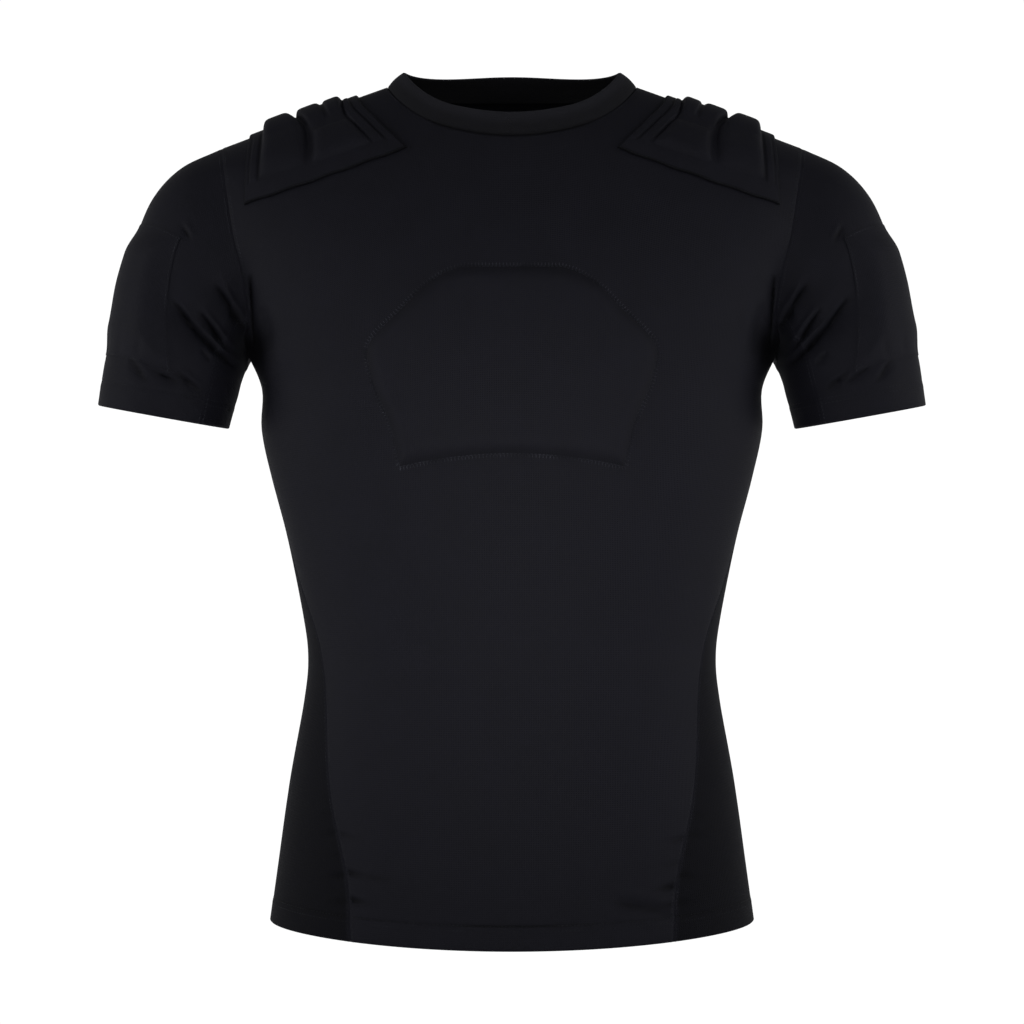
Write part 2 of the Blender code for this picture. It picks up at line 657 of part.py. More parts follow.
def make_biceps_pad(name, side):
    """Biceps pad on the outside of the sleeve, its top edge level round the arm."""
    base, normals, heights = [], [], []
    for i in range(BICEPS_ALONG + 1):
        along = i / BICEPS_ALONG
        line, line_normals, line_heights = [], [], []
        for j in range(BICEPS_ACROSS + 1):
            across = 2.0 * j / BICEPS_ACROSS - 1.0
            angle = across * (BICEPS_ANGLE_TOP + (BICEPS_ANGLE_BOTTOM - BICEPS_ANGLE_TOP) * along)
            top = BICEPS_TOP_OUTER + (BICEPS_TOP_SIDE - BICEPS_TOP_OUTER) * across * across
            bottom = BICEPS_BOTTOM_OUTER + (BICEPS_BOTTOM_SIDE - BICEPS_BOTTOM_OUTER) * across * across
            t = top + (bottom - top) * along
            p, n = sleeve_surface(t, angle), surface_normal(sleeve_surface, t, angle) * -1.0
            line.append(Vector((side * p.x, p.y, p.z)))
            line_normals.append(Vector((side * n.x, n.y, n.z)))
            crown = (1.0 - across ** 6) * (1.0 - abs(2.0 * along - 1.0) ** 5)
            line_heights.append(BICEPS_EDGE + (BICEPS_CROWN - BICEPS_EDGE) * crown)
        base.append(line)
        normals.append(line_normals)
        heights.append(line_heights)
    laid_piece(name, base, normals, heights, "pad_knit")


def make_material(name, colour, roughness):
    material = bpy.data.materials.new(name)
    material.use_nodes = True
    shader = material.node_tree.nodes["Principled BSDF"]
    shader.inputs["Base Color"].default_value = (*colour, 1.0)
    shader.inputs["Roughness"].default_value = roughness
    shader.inputs["Metallic"].default_value = 0.0
    return material


def split_sleeve(grid):
    """Upper sleeve and underarm gusset of a sleeve: its columns past the gusset's seams."""
    columns = range(len(ARMHOLE_ANGLES))
    first = min(columns, key=lambda j: abs(ARMHOLE_ANGLES[j] - GUSSET_AT_ARMHOLE))
    last = min(columns, key=lambda j: abs(ARMHOLE_ANGLES[j] - (2.0 * math.pi - GUSSET_AT_ARMHOLE)))
    gusset = [line[first:last + 1] for line in grid]
    upper = [line[last:-1] + line[:first + 1] for line in grid]
    return upper, gusset


def make_garment():
    sides = {"left": -1.0, "right": 1.0}
    cloth = SewnSurface()
    front, back = panel_grid(-1), panel_grid(1)
    cloth.add("front", front, "body")
    cloth.add("back", back, "body", flip=True)
    cloth.add("collar", collar_grid(front, back), "collar", closed=True)
    for name, side in sides.items():
        upper, gusset = split_sleeve(sleeve_grid(side))
        cloth.add(f"side_{name}", side_grid(side), "body", flip=side < 0.0)
        cloth.add(f"sleeve_{name}", upper, f"arm_{name}", flip=side < 0.0)
        cloth.add(f"gusset_{name}", gusset, f"arm_{name}", flip=side < 0.0)
    cloth.make("front", "body_knit")
    cloth.make("back", "body_knit")
    cloth.make("collar", "collar_knit", COLLAR_WALL)
    make_chest_pad()
    for name, side in sides.items():
        cloth.make(f"side_{name}", "side_knit")
        cloth.make(f"sleeve_{name}", "body_knit")
        cloth.make(f"gusset_{name}", "side_knit")
        make_shoulder_pad(f"shoulder_pad_{name}", side)
        make_biceps_pad(f"biceps_pad_{name}", side)


GARMENT = bpy.data.collections.new(COLLECTION_NAME)
bpy.context.scene.collection.children.link(GARMENT)
MATERIALS = {name: make_material(name, *finish) for name, finish in FINISHES.items()}
make_garment()
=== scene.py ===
"""Looks of the short-sleeved padded rugby top: black stretch knit, foam pads and stitching."""
import math

import bpy
import numpy as np
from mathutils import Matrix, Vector


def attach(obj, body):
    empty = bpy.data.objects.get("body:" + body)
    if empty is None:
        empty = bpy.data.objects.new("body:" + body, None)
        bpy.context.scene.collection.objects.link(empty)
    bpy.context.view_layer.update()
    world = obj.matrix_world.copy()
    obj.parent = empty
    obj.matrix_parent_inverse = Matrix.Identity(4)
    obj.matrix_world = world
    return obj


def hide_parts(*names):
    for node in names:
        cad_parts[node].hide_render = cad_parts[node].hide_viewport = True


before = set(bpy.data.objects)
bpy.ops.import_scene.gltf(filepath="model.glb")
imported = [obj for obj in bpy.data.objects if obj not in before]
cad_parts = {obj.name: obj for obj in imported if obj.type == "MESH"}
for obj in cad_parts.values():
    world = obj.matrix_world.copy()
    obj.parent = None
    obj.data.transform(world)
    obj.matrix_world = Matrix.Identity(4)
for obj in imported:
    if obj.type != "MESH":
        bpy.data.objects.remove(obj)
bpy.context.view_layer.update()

# Front panel: smooth black nylon and elastane knit, one piece from the hem to the shoulders.
# It is flatlocked to its neighbours and its hem is turned up and twin-needled. Worn tight,
# it has hardly a fold apart from the drag lines that run out of the underarms.
BODY_COLUMNS = ("z_front", "z_back", "z_edge", "half_width", "front", "back", "front_seam", "back_seam")
BODY_ROWS = {
    "hem": (-0.6385, -0.6375, -0.6280, 0.1880, 0.120, 0.126, 37.0, 46.0),
    "seat": (-0.584, -0.584, -0.583, 0.1817, 0.117, 0.122, 40.5, 48.0),
    "hip": (-0.521, -0.521, -0.521, 0.1730, 0.112, 0.112, 50.5, 52.0),
    "low_waist": (-0.459, -0.459, -0.459, 0.1619, 0.108, 0.101, 59.0, 56.0),
    "waist": (-0.427, -0.427, -0.427, 0.1587, 0.1065, 0.097, 64.0, 58.0),
    "low_ribs": (-0.396, -0.396, -0.396, 0.1619, 0.107, 0.098, 69.0, 60.0),
    "ribs": (-0.334, -0.334, -0.334, 0.1743, 0.112, 0.106, 84.0, 64.0),
    "low_chest": (-0.287, -0.287, -0.287, 0.1865, 0.1165, 0.113, 90.0, 67.0),
    "chest": (-0.248, -0.248, -0.248, 0.1948, 0.119, 0.119, 92.0, 70.0),
    "high_chest": (-0.217, -0.217, -0.217, 0.1946, 0.1195, 0.1215, 93.0, 72.0),
    "underarm": (-0.191, -0.191, -0.190, 0.2055, 0.1185, 0.122, 94.0, 74.0),
    "low_armhole": (-0.164, -0.164, -0.165, 0.2137, 0.1165, 0.1225, 70.5, 68.0),
    "armhole": (-0.127, -0.124, -0.130, 0.2324, 0.111, 0.1225, 60.8, 60.4),
    "blade": (-0.092, -0.086, -0.100, 0.2494, 0.103, 0.118, 56.5, 56.7),
    "collarbone": (-0.055, -0.044, -0.070, 0.2588, 0.088, 0.103, 55.2, 56.0),
    "slope": (-0.014, 0.004, -0.0430, 0.2660, 0.060, 0.070, 54.7, 55.2),
    "ridge": (0.0427, 0.0427, -0.0290, 0.2700, 0.0, 0.0, 54.7, 54.7),
}
RING_POWER, SHOULDER_BEND, HEM_POWER = 0.87, 0.05, 1.9
NECK_HALF_WIDTH, NECK_FRONT, NECK_BACK = 0.0975, 0.070, 0.055
NECK_COLUMNS, SHOULDER_COLUMNS, EDGE_CLOSING = 26, 56, 1.4
ROW_SPACING, FOLD_ROW_SPACING, PUCKER_ROW_SPACING = 0.005, 0.0012, 0.0016
ROWS_PER_SHOULDER_RING, FEWEST_ROWS, HALVINGS = 14, 4, 40
KNIT_WALL, SEAM_CLEARANCE, TINY = 0.0016, 0.00006, 1e-12
SEAM_ROLL, SEAM_ROLL_WIDTH, SEAM_FREE = 0.0003, 0.0016, 0.006
UNDERARM_LOW, UNDERARM_HIGH, UNDERARM_LOW_FADE, UNDERARM_HIGH_FADE = -0.215, -0.105, 0.02, 0.03
HEM_WIDTH, HEM_RISE, HEM_EASE, HEM_GROOVE, HEM_GROOVE_WIDTH = 0.018, 0.0003, 0.0016, 0.00025, 0.0013
HEM_SHADE, HEM_MIDDLE_SHADE, HEM_MIDDLE_WIDTH, HEM_SHADE_WIDTH = 0.4, 0.6, 0.045, 0.00078
NECK_SHADE, NECK_SHADE_WIDTH, NECK_SHADE_END, NECK_SHADE_FADE = 1.8, 0.0016, 0.055, 0.022
HEM_ROWS = (0.0, 0.002, 0.005, 0.009, 0.013, 0.0155, 0.0168, 0.0174, 0.018, 0.0186, 0.0192, 0.0202, 0.022,
            0.025, 0.029)

body = {name: [row[i] for row in BODY_ROWS.values()] for i, name in enumerate(BODY_COLUMNS)}
RINGS = list(BODY_ROWS)
RIDGE, UNDERARM = len(RINGS) - 1, RINGS.index("underarm")
NECK_BEND, COLLARBONE = RINGS.index("armhole"), RINGS.index("collarbone")
FOLDED_FROM, FOLDED_TO, PUCKERED_TO = RINGS.index("high_chest"), RINGS.index("armhole"), RINGS.index("hip")
BACK_HEM = 2 * RIDGE
track = {
    "z_mid": body["z_front"] + body["z_back"][-2::-1],
    "z_edge": body["z_edge"] + body["z_edge"][-2::-1],
    "half_width": body["half_width"] + body["half_width"][-2::-1],
    "depth": [-d for d in body["front"]] + body["back"][-2::-1],
    "seam": list(np.radians(body["front_seam"] + body["back_seam"][-2::-1])),
}


def smooth(values, t):
    """Catmull-Rom curve through values, one at each whole number, at an array of places."""
    values, t = np.asarray(values, float), np.asarray(t, float)
    last = len(values) - 1
    i = np.clip(np.floor(t).astype(int), 0, last - 1)
    f = t - i
    p1, p2 = values[i], values[i + 1]
    p0 = np.where(i > 0, values[np.maximum(i - 1, 0)], 2.0 * p1 - p2)
    p3 = np.where(i + 2 <= last, values[np.minimum(i + 2, last)], 2.0 * p2 - p1)
    return 0.5 * (2.0 * p1 + (p2 - p0) * f + (2.0 * p0 - 5.0 * p1 + 4.0 * p2 - p3) * f ** 2
                  + (3.0 * p1 - p0 - 3.0 * p2 + p3) * f ** 3)


def signed_power(value, exponent):
    """Power of the size of a value, with the value's own sign."""
    return np.sign(value) * np.abs(value) ** exponent


def soft_step(share):
    """Rise from 0 to 1 with level ends."""
    share = np.clip(share, 0.0, 1.0)
    return share * share * (3.0 - 2.0 * share)


def shoulder_bow(x):
    """Rounded V that lets a ring fall from the neck to the shoulder tip."""
    return np.hypot(x, SHOULDER_BEND) - SHOULDER_BEND


FOLD_COLUMNS = ("start_x", "start_z", "end_x", "end_z", "width", "depth")
FOLD_ROWS = {
    "armhole": (0.2040, -0.130, 0.2050, -0.190, 0.012, 0.006),
    "sleeve_upper": (0.2290, -0.140, 0.2080, -0.168, 0.010, 0.004),
    "sleeve_lower": (0.2600, -0.152, 0.2240, -0.190, 0.010, 0.004),
}
TUCK_ROWS = {
    "beside_seam": (0.1997, -0.134, 0.1996, -0.166, 0.0022, 0.0075),
    "into_underarm": (0.1996, -0.158, 0.1985, -0.190, 0.0028, 0.0090),
}
FOLD_START_SHARE = 0.15
POCKET_CENTRE, POCKET_REACH = (0.1982, -0.1870), (0.0118, 0.0170)
POCKET_DEPTH, POCKET_DARK, MOST_PRESS, TUCK_DARK = 0.0110, 1.2, 0.5, 0.7


def fold_ends(row):
    """Start and end of a fold in the front view, its width and its depth."""
    fold = dict(zip(FOLD_COLUMNS, row))
    start, end = np.array([(fold[f"{part}_x"], fold[f"{part}_z"]) for part in ("start", "end")])
    return start, end, fold["width"], fold["depth"]


def fold_line(place, row):
    """How far points lie from a fold's line, in its widths, and how deep the fold is beside them."""
    start, end, width, depth = fold_ends(row)
    along = end - start
    share = np.clip((place - start) @ along / (along @ along), 0.0, 1.0)
    away = np.linalg.norm(place - start - share[..., None] * along, axis=-1) / width
    return away, depth * np.sin(math.pi * (FOLD_START_SHARE + (1.0 - FOLD_START_SHARE) * share))


def underarm_folds(points):
    """Press of the folds, tucks and pocket under the arm, and the painted shade where cloth on cloth keeps
    the light out.
    """
    place = np.stack([np.abs(points[..., 0]), points[..., 2]], axis=-1)
    soft, sharp = np.zeros(points.shape[:-1]), np.zeros(points.shape[:-1])
    for row in FOLD_ROWS.values():
        away, depth = fold_line(place, row)
        soft = np.maximum(soft, depth * np.exp(-away ** 2))
    pocket = np.exp(-np.sum(((place - POCKET_CENTRE) / POCKET_REACH) ** 2, axis=-1))
    dark = np.minimum(POCKET_DARK * pocket, 1.0)
    for row in TUCK_ROWS.values():
        away, depth = fold_line(place, row)
        sharp = np.maximum(sharp, depth * np.exp(-away))
        dark = np.maximum(dark, np.sqrt(depth / row[-1]) * np.exp(-(away / TUCK_DARK) ** 2))
    return np.maximum(soft, POCKET_DEPTH * pocket) + sharp, dark


def press_folds(points):
    """Main underarm folds, which cross the armhole seam: body and sleeve are pressed in alike."""
    press, _ = underarm_folds(points)
    points = points.copy()
    points[..., 1] -= np.copysign(np.minimum(press, MOST_PRESS * np.abs(points[..., 1])), points[..., 1])
    return points


def shaded(near, dark):
    """Seam value of cloth, lowered towards -1 by painted shade where folded cloth keeps the light out."""
    return near * (1.0 - dark) - dark


def body_form(t, angle):
    """Points of the worn body form: place t from front hem to back hem, angle round the ring."""
    t, angle = np.broadcast_arrays(np.asarray(t, float), np.asarray(angle, float))
    half_width = smooth(track["half_width"], t)
    x = half_width * signed_power(np.sin(angle), RING_POWER)
    facing = np.cos(angle)
    depth = smooth(track["depth"], np.where(facing >= 0.0, t, BACK_HEM - t))
    y = depth * np.abs(facing) ** RING_POWER
    z_mid, z_edge = smooth(track["z_mid"], t), smooth(track["z_edge"], t)
    edge_x = half_width * signed_power(np.sin(smooth(track["seam"], t)), RING_POWER)
    fall = np.minimum(shoulder_bow(x) / shoulder_bow(edge_x), 1.0)
    from_hem = np.clip(np.minimum(t, BACK_HEM - t), 0.0, 1.0)
    fall = fall * from_hem + np.abs(x / half_width) ** HEM_POWER * (1.0 - from_hem)
    return np.stack([x, y, z_mid + (z_edge - z_mid) * fall], axis=-1)


def body_point(t, angle):
    """Points of the body with its main folds."""
    return press_folds(body_form(t, angle))


def body_at_x(t, x):
    """Points of the body form at place t with a given x."""
    share = np.clip(x / smooth(track["half_width"], t), -1.0, 1.0)
    return body_point(t, np.arcsin(signed_power(share, 1.0 / RING_POWER)))


def closing(count, exponent=EDGE_CLOSING):
    """Shares from 0 to 1 that lie closer and closer towards 1."""
    return 1.0 - (1.0 - np.linspace(0.0, 1.0, count + 1)) ** exponent


def ring_rows():
    """Rows of a body panel from the hem to the ridge, closest at the hem and at the shoulder seam."""
    z = body["z_front"]
    rows = [[away / (z[1] - z[0]) for away in HEM_ROWS]]
    start = rows[0].pop()
    for ring in range(RIDGE - 1):
        if ring < COLLARBONE:
            spacing = FOLD_ROW_SPACING if FOLDED_FROM <= ring < FOLDED_TO else ROW_SPACING
            spacing = PUCKER_ROW_SPACING if ring < PUCKERED_TO else spacing
            count = max(round((z[ring + 1] - z[ring]) * (1.0 - start) / spacing), FEWEST_ROWS)
        else:
            count = ROWS_PER_SHOULDER_RING
        rows.append(ring + np.linspace(start, 1.0, count + 1)[:-1])
        start = 0.0
    return np.concatenate(rows + [RIDGE - 1 + closing(ROWS_PER_SHOULDER_RING)])


def panel_shares():
    """Columns of half a panel, from its centre to its edge, with one on the neck corner."""
    x = NECK_HALF_WIDTH * np.sin(np.linspace(0.0, 0.5 * math.pi, NECK_COLUMNS + 1))
    neck = np.arcsin((x / track["half_width"][RIDGE]) ** (1.0 / RING_POWER)) / track["seam"][RIDGE]
    return np.concatenate([neck, neck[-1] + (1.0 - neck[-1]) * closing(SHOULDER_COLUMNS)[1:]])


def neck_limits(shares, toward):
    """Place where each column meets the neck seam, on the front (-1) or back (1)."""
    depth = NECK_FRONT if toward < 0 else NECK_BACK
    outside = np.full(len(shares), RIDGE + toward * (RIDGE - NECK_BEND), float)
    inside = np.full(len(shares), RIDGE, float)
    for _ in range(HALVINGS):
        t = 0.5 * (outside + inside)
        p = body_point(t, shares * smooth(track["seam"], t))
        within = (p[:, 0] / NECK_HALF_WIDTH) ** 2 + (p[:, 1] / depth) ** 2 < 1.0
        inside, outside = np.where(within, t, inside), np.where(within, outside, t)
    return np.where(np.arange(len(shares)) < NECK_COLUMNS, outside, RIDGE)


def body_panel(toward):
    """Grid of the front (-1) or back (1) panel, hem row first, left column first."""
    rows, half = ring_rows(), panel_shares()
    reach = np.abs(neck_limits(half, toward) - RIDGE)
    reach = np.concatenate([reach[:0:-1], reach])
    shares = np.concatenate([-half[:0:-1], half])
    above = np.clip(rows - NECK_BEND, 0.0, None)[:, None]
    t = np.minimum(rows, NECK_BEND)[:, None] + above * (1.0 - reach[None, :] / (RIDGE - NECK_BEND))
    t = BACK_HEM - t if toward > 0 else t
    return body_point(t, shares[None, :] * smooth(track["seam"], t))


def unit(vectors):
    """Vectors brought to length 1."""
    return vectors / np.maximum(np.linalg.norm(vectors, axis=-1, keepdims=True), TINY)


def grid_normals(points, flip, closed=False):
    """Outward normals of a grid of points."""
    across = np.gradient(points, axis=1)
    if closed:
        across = (np.roll(points[:, :-1], -1, axis=1) - np.roll(points[:, :-1], 1, axis=1)) * 0.5
        across = np.concatenate([across, across[:, :1]], axis=1)
    return unit(np.cross(across, np.gradient(points, axis=0))) * (-1.0 if flip else 1.0)


def run_length(points, axis):
    """Length along a grid from its first row or column."""
    steps = np.linalg.norm(np.diff(points, axis=axis), axis=-1)
    start = np.zeros_like(np.take(steps, [0], axis=axis))
    return np.concatenate([start, np.cumsum(steps, axis=axis)], axis=axis)


def edge_distance(points, edge):
    """Distance of each point of a grid from one of its edges, along the cloth."""
    axis = 1 if edge in ("left", "right") else 0
    length = run_length(points, axis)
    if edge in ("right", "top"):
        length = np.take(length, [-1], axis=axis) - length
    return length


def part_seams(points, seams):
    """Panel with its sewn edges set back by half the gap that keeps it off its neighbours."""
    points = points.copy()
    for edge in seams:
        line = points if edge in ("bottom", "top") else points.swapaxes(0, 1)
        here, ahead = (0, 1) if edge in ("bottom", "left") else (-1, -2)
        line[here] += SEAM_CLEARANCE * unit(line[ahead] - line[here])
    return points


def seam_lift(points, seams):
    """Cloth drawn down at its seams, how near each point lies to one, and how free it is of them.

    Nothing is drawn down in the underarm, where the two cloths of the armhole seam fold together.
    """
    nearest = np.min([edge_distance(points, edge) for edge in seams], axis=0)
    near = np.exp(-(nearest / SEAM_ROLL_WIDTH) ** 2)
    z = points[..., 2]
    in_underarm = soft_step((z - UNDERARM_LOW) / UNDERARM_LOW_FADE) * soft_step(
        (UNDERARM_HIGH - z) / UNDERARM_HIGH_FADE)
    return -SEAM_ROLL * near * (1.0 - in_underarm), near, 1.0 - np.exp(-(nearest / SEAM_FREE) ** 2)


def hem_lift(points, edge):
    """Turned-up hem: a doubled band with a groove where it is sewn down."""
    past = edge_distance(points, edge) - HEM_WIDTH
    groove = HEM_GROOVE * np.exp(-(past / HEM_GROOVE_WIDTH) ** 2)
    return 0.5 * HEM_RISE * (1.0 - np.tanh(past / HEM_EASE)) - groove


def hem_shade(points, edge):
    """Painted shade of the line in which a hem is sewn down, darkest at the middle of the garment."""
    shade = HEM_SHADE + HEM_MIDDLE_SHADE * np.exp(-(points[..., 0] / HEM_MIDDLE_WIDTH) ** 4)
    return shade * np.exp(-((edge_distance(points, edge) - HEM_WIDTH) / HEM_SHADE_WIDTH) ** 2)


def neck_fade(x):
    """Share of the neck seam's painted shade at places across the neck: all in the middle, none at its
    sides.
    """
    return 1.0 - soft_step((np.abs(x) - NECK_SHADE_END) / NECK_SHADE_FADE)


def neck_shade(points):
    """Painted shade of the line in which the collar is sewn to the top edge of a panel."""
    from_middle = np.abs(np.arange(points.shape[1]) - points.shape[1] // 2)
    shade = NECK_SHADE * np.exp(-(edge_distance(points, "top") / NECK_SHADE_WIDTH) ** 2)
    return shade * neck_fade(points[..., 0]) * (from_middle <= NECK_COLUMNS)


FACING_GAIN, FACING_START = 1.6, 0.25
CREASE_FLANK, CREASE_FLANK_SHARE, CREASE_START, CREASE_RUN = 1.9, 0.4, 0.12, 0.76


def facing_share(normals, face):
    """Share of a fold that shows where the cloth faces front (-1) or back (1)."""
    return np.clip(face * normals[..., 1] * FACING_GAIN + FACING_START, 0.0, 1.0)


def beside_fold(points, row, start_share, run_share):
    """How far points lie above a fold's line, in its widths, how full the fold is there, and its depth."""
    start, end, width, depth = fold_ends(row)
    length = np.linalg.norm(end - start)
    along = (end - start) / length
    place = points[..., (0, 2)] - start
    run, above = place @ along, place @ np.array((-along[1], along[0])) * np.sign(along[0]) / width
    beyond = np.maximum(np.maximum(-run, run - length), 0.0) / width
    swell = np.sin(math.pi * np.clip(start_share + run_share * run / length, 0.0, 1.0))
    return above, swell * np.exp(-beyond ** 2), depth


def crease_lift(points, normals, rows, face):
    """Soft troughs with raised flanks, laid on the side that faces front (-1) or back (1)."""
    lift = np.zeros(points.shape[:2])
    for row in rows.values():
        above, swell, depth = beside_fold(points, row, CREASE_START, CREASE_RUN)
        flank = CREASE_FLANK_SHARE * np.exp(-(np.abs(above) - CREASE_FLANK) ** 2)
        lift += depth * (flank - np.exp(-above ** 2)) * swell
    return lift * facing_share(normals, face)


PUCKER_HEIGHT, PUCKER_REACH, PUCKER_LEAN, DEEP_PUCKER, PUCKER_DARK = 0.0024, 0.013, 0.15, 0.0022, 0.8


def pucker_lift(points, rows):
    """Short pinches that run from the side seams into a panel, and the painted shade inside them."""
    lift = np.zeros(points.shape[:2])
    for edge, pinches in rows.items():
        away = edge_distance(points, edge)
        reach = np.exp(-(away / PUCKER_REACH) ** 2) - np.exp(-(away / SEAM_ROLL_WIDTH) ** 2)
        for z, depth in pinches:
            lean = points[..., 2] - z + PUCKER_LEAN * away
            lift -= depth * reach * np.exp(-(lean / PUCKER_HEIGHT) ** 2)
    return lift, np.clip(-lift / DEEP_PUCKER, 0.0, PUCKER_DARK)


WAVES = ((0.083, 0.131, 0.4), (0.147, 0.071, 1.7), (0.211, 0.173, 3.1))
WAVE_SLANT_Y, WAVE_SLANT_X, TURN = 0.6, 0.4, 2.0 * math.pi


def slack_lift(points, height):
    """Faint unevenness of stretched cloth, from a few long waves."""
    x, y, z = np.moveaxis(points, -1, 0)
    lift = np.zeros(points.shape[:2])
    for length_x, length_z, phase in WAVES:
        lift += np.sin(TURN * (x + WAVE_SLANT_Y * y) / length_x + phase) * np.sin(
            TURN * (z - WAVE_SLANT_X * x) / length_z + 2.0 * phase)
    return height * lift / len(WAVES)


SHARP_EDGE = math.radians(60.0)


def wall_mesh(name, points, normals, lift, near, wall=KNIT_WALL, closed=False, folded=(), within=None):
    """Closed cloth wall on a grid: outer points lifted, inner ones a wall below, folded edges round."""
    outer = points + normals * lift[..., None]
    inner = points + normals * (np.minimum(lift, 0.0) - wall)[..., None]
    flip = np.sum(np.cross(points[0, 1] - points[0, 0], points[1, 0] - points[0, 0]) * normals[0, 0]) < 0.0
    rows, count = points.shape[0], points.shape[1] - (1 if closed else 0)
    total = 2 * rows * count

    def looped(line):
        return np.concatenate([line, line[..., :1]], axis=-1) if closed else line

    out_rows, in_rows = looped(np.arange(total).reshape(2, rows, count))
    u, v = run_length(points, 1), run_length(points, 0)
    flat = np.stack([u - u[:, u.shape[1] // 2][:, None], v], axis=-1)[:, :count]
    verts = [skin[:, :count].reshape(-1, 3) for skin in (outer, inner)]
    flats = [flat.reshape(-1, 2)] * 2
    nears = [side[:, :count].ravel() for side in (near, near if within is None else within)]
    faces = []

    def strip(a, b, turned):
        quads = np.stack([a[:-1], a[1:], b[1:], b[:-1]], axis=-1)
        faces.extend((quads[:, ::-1] if turned else quads).tolist())

    for k in range(rows - 1):
        strip(out_rows[k], out_rows[k + 1], flip)
        strip(in_rows[k], in_rows[k + 1], not flip)
    for edge, k, inside, turned in (("bottom", 0, 1, not flip), ("top", -1, -2, flip)):
        lines = [out_rows[k], in_rows[k]]
        if edge in folded:
            away = unit(outer[k, :count] - outer[inside, :count])
            verts.append((outer[k, :count] + inner[k, :count]) * 0.5 + away * (wall * 0.5))
            flats.append(flat[k])
            nears.append(np.ones(count))
            lines.insert(1, looped(np.arange(total, total + count)))
            total += count
        for line, following in zip(lines, lines[1:]):
            strip(line, following, turned)
    if not closed:
        strip(out_rows[:, 0], in_rows[:, 0], flip)
        strip(out_rows[:, -1], in_rows[:, -1], not flip)
    mesh = bpy.data.meshes.new(name)
    mesh.from_pydata(np.concatenate(verts).tolist(), [], faces)
    loops = np.empty(len(mesh.loops), np.int32)
    mesh.loops.foreach_get("vertex_index", loops)
    mesh.uv_layers.new(name="cloth").data.foreach_set("uv", np.concatenate(flats)[loops].ravel())
    # The seam attribute: nearness to a seam, 1 on folded edges, and painted shade where it is below 0.
    mesh.attributes.new("seam", "FLOAT", "POINT").data.foreach_set("value", np.concatenate(nears))
    mesh.update()
    mesh.shade_smooth()
    mesh.set_sharp_from_angle(angle=SHARP_EDGE)
    return mesh, outer


def hex_colour(code):
    """Linear colour of an sRGB hex value."""
    channels = [int(code[i:i + 2], 16) / 255.0 for i in (0, 2, 4)]
    return tuple(c / 12.92 if c <= 0.04045 else ((c + 0.055) / 1.055) ** 2.4 for c in channels) + (1.0,)


def add_node(tree, kind, settings=None, **inputs):
    """Add a node; an input is a value, an output socket, or a node for its first output."""
    node = tree.nodes.new(kind)
    for key, value in (settings or {}).items():
        setattr(node, key, value)
    for key, value in inputs.items():
        socket = node.inputs[int(key[1:])] if key[1:].isdigit() else node.inputs[key.replace("_", " ")]
        value = value.outputs[0] if isinstance(value, bpy.types.Node) else value
        if isinstance(value, bpy.types.NodeSocket):
            tree.links.new(value, socket)
        else:
            socket.default_value = value
    return node


# The uneven tone comes in blotches about 26 mm across, which is 38 to a metre.
KNIT_BLOTCHES, KNIT_BLOTCH_DETAIL, KNIT_UNEVEN_SHINE = 38.0, 3.0, 0.06
KNIT_LEG_SHARE, KNIT_LOOP_SHARE, KNIT_BUMP = 0.5, 0.25, 0.5
# KNIT_SEAM_TONE is how far the seam value shifts the tone; KNIT_DARKEST is the darkest its painted shade
# makes the cloth.
KNIT_LOOP_TONE, KNIT_SEAM_TONE, KNIT_DARKEST = 0.12, 0.25, 0.25
SHEEN_ROUGHNESS, SHEEN_TINT = 0.45, "C9CCDA"


def empty_tree(owner):
    """Node tree of a new material or world, with nothing in it."""
    owner.use_nodes = True
    owner.node_tree.nodes.clear()
    return owner.node_tree


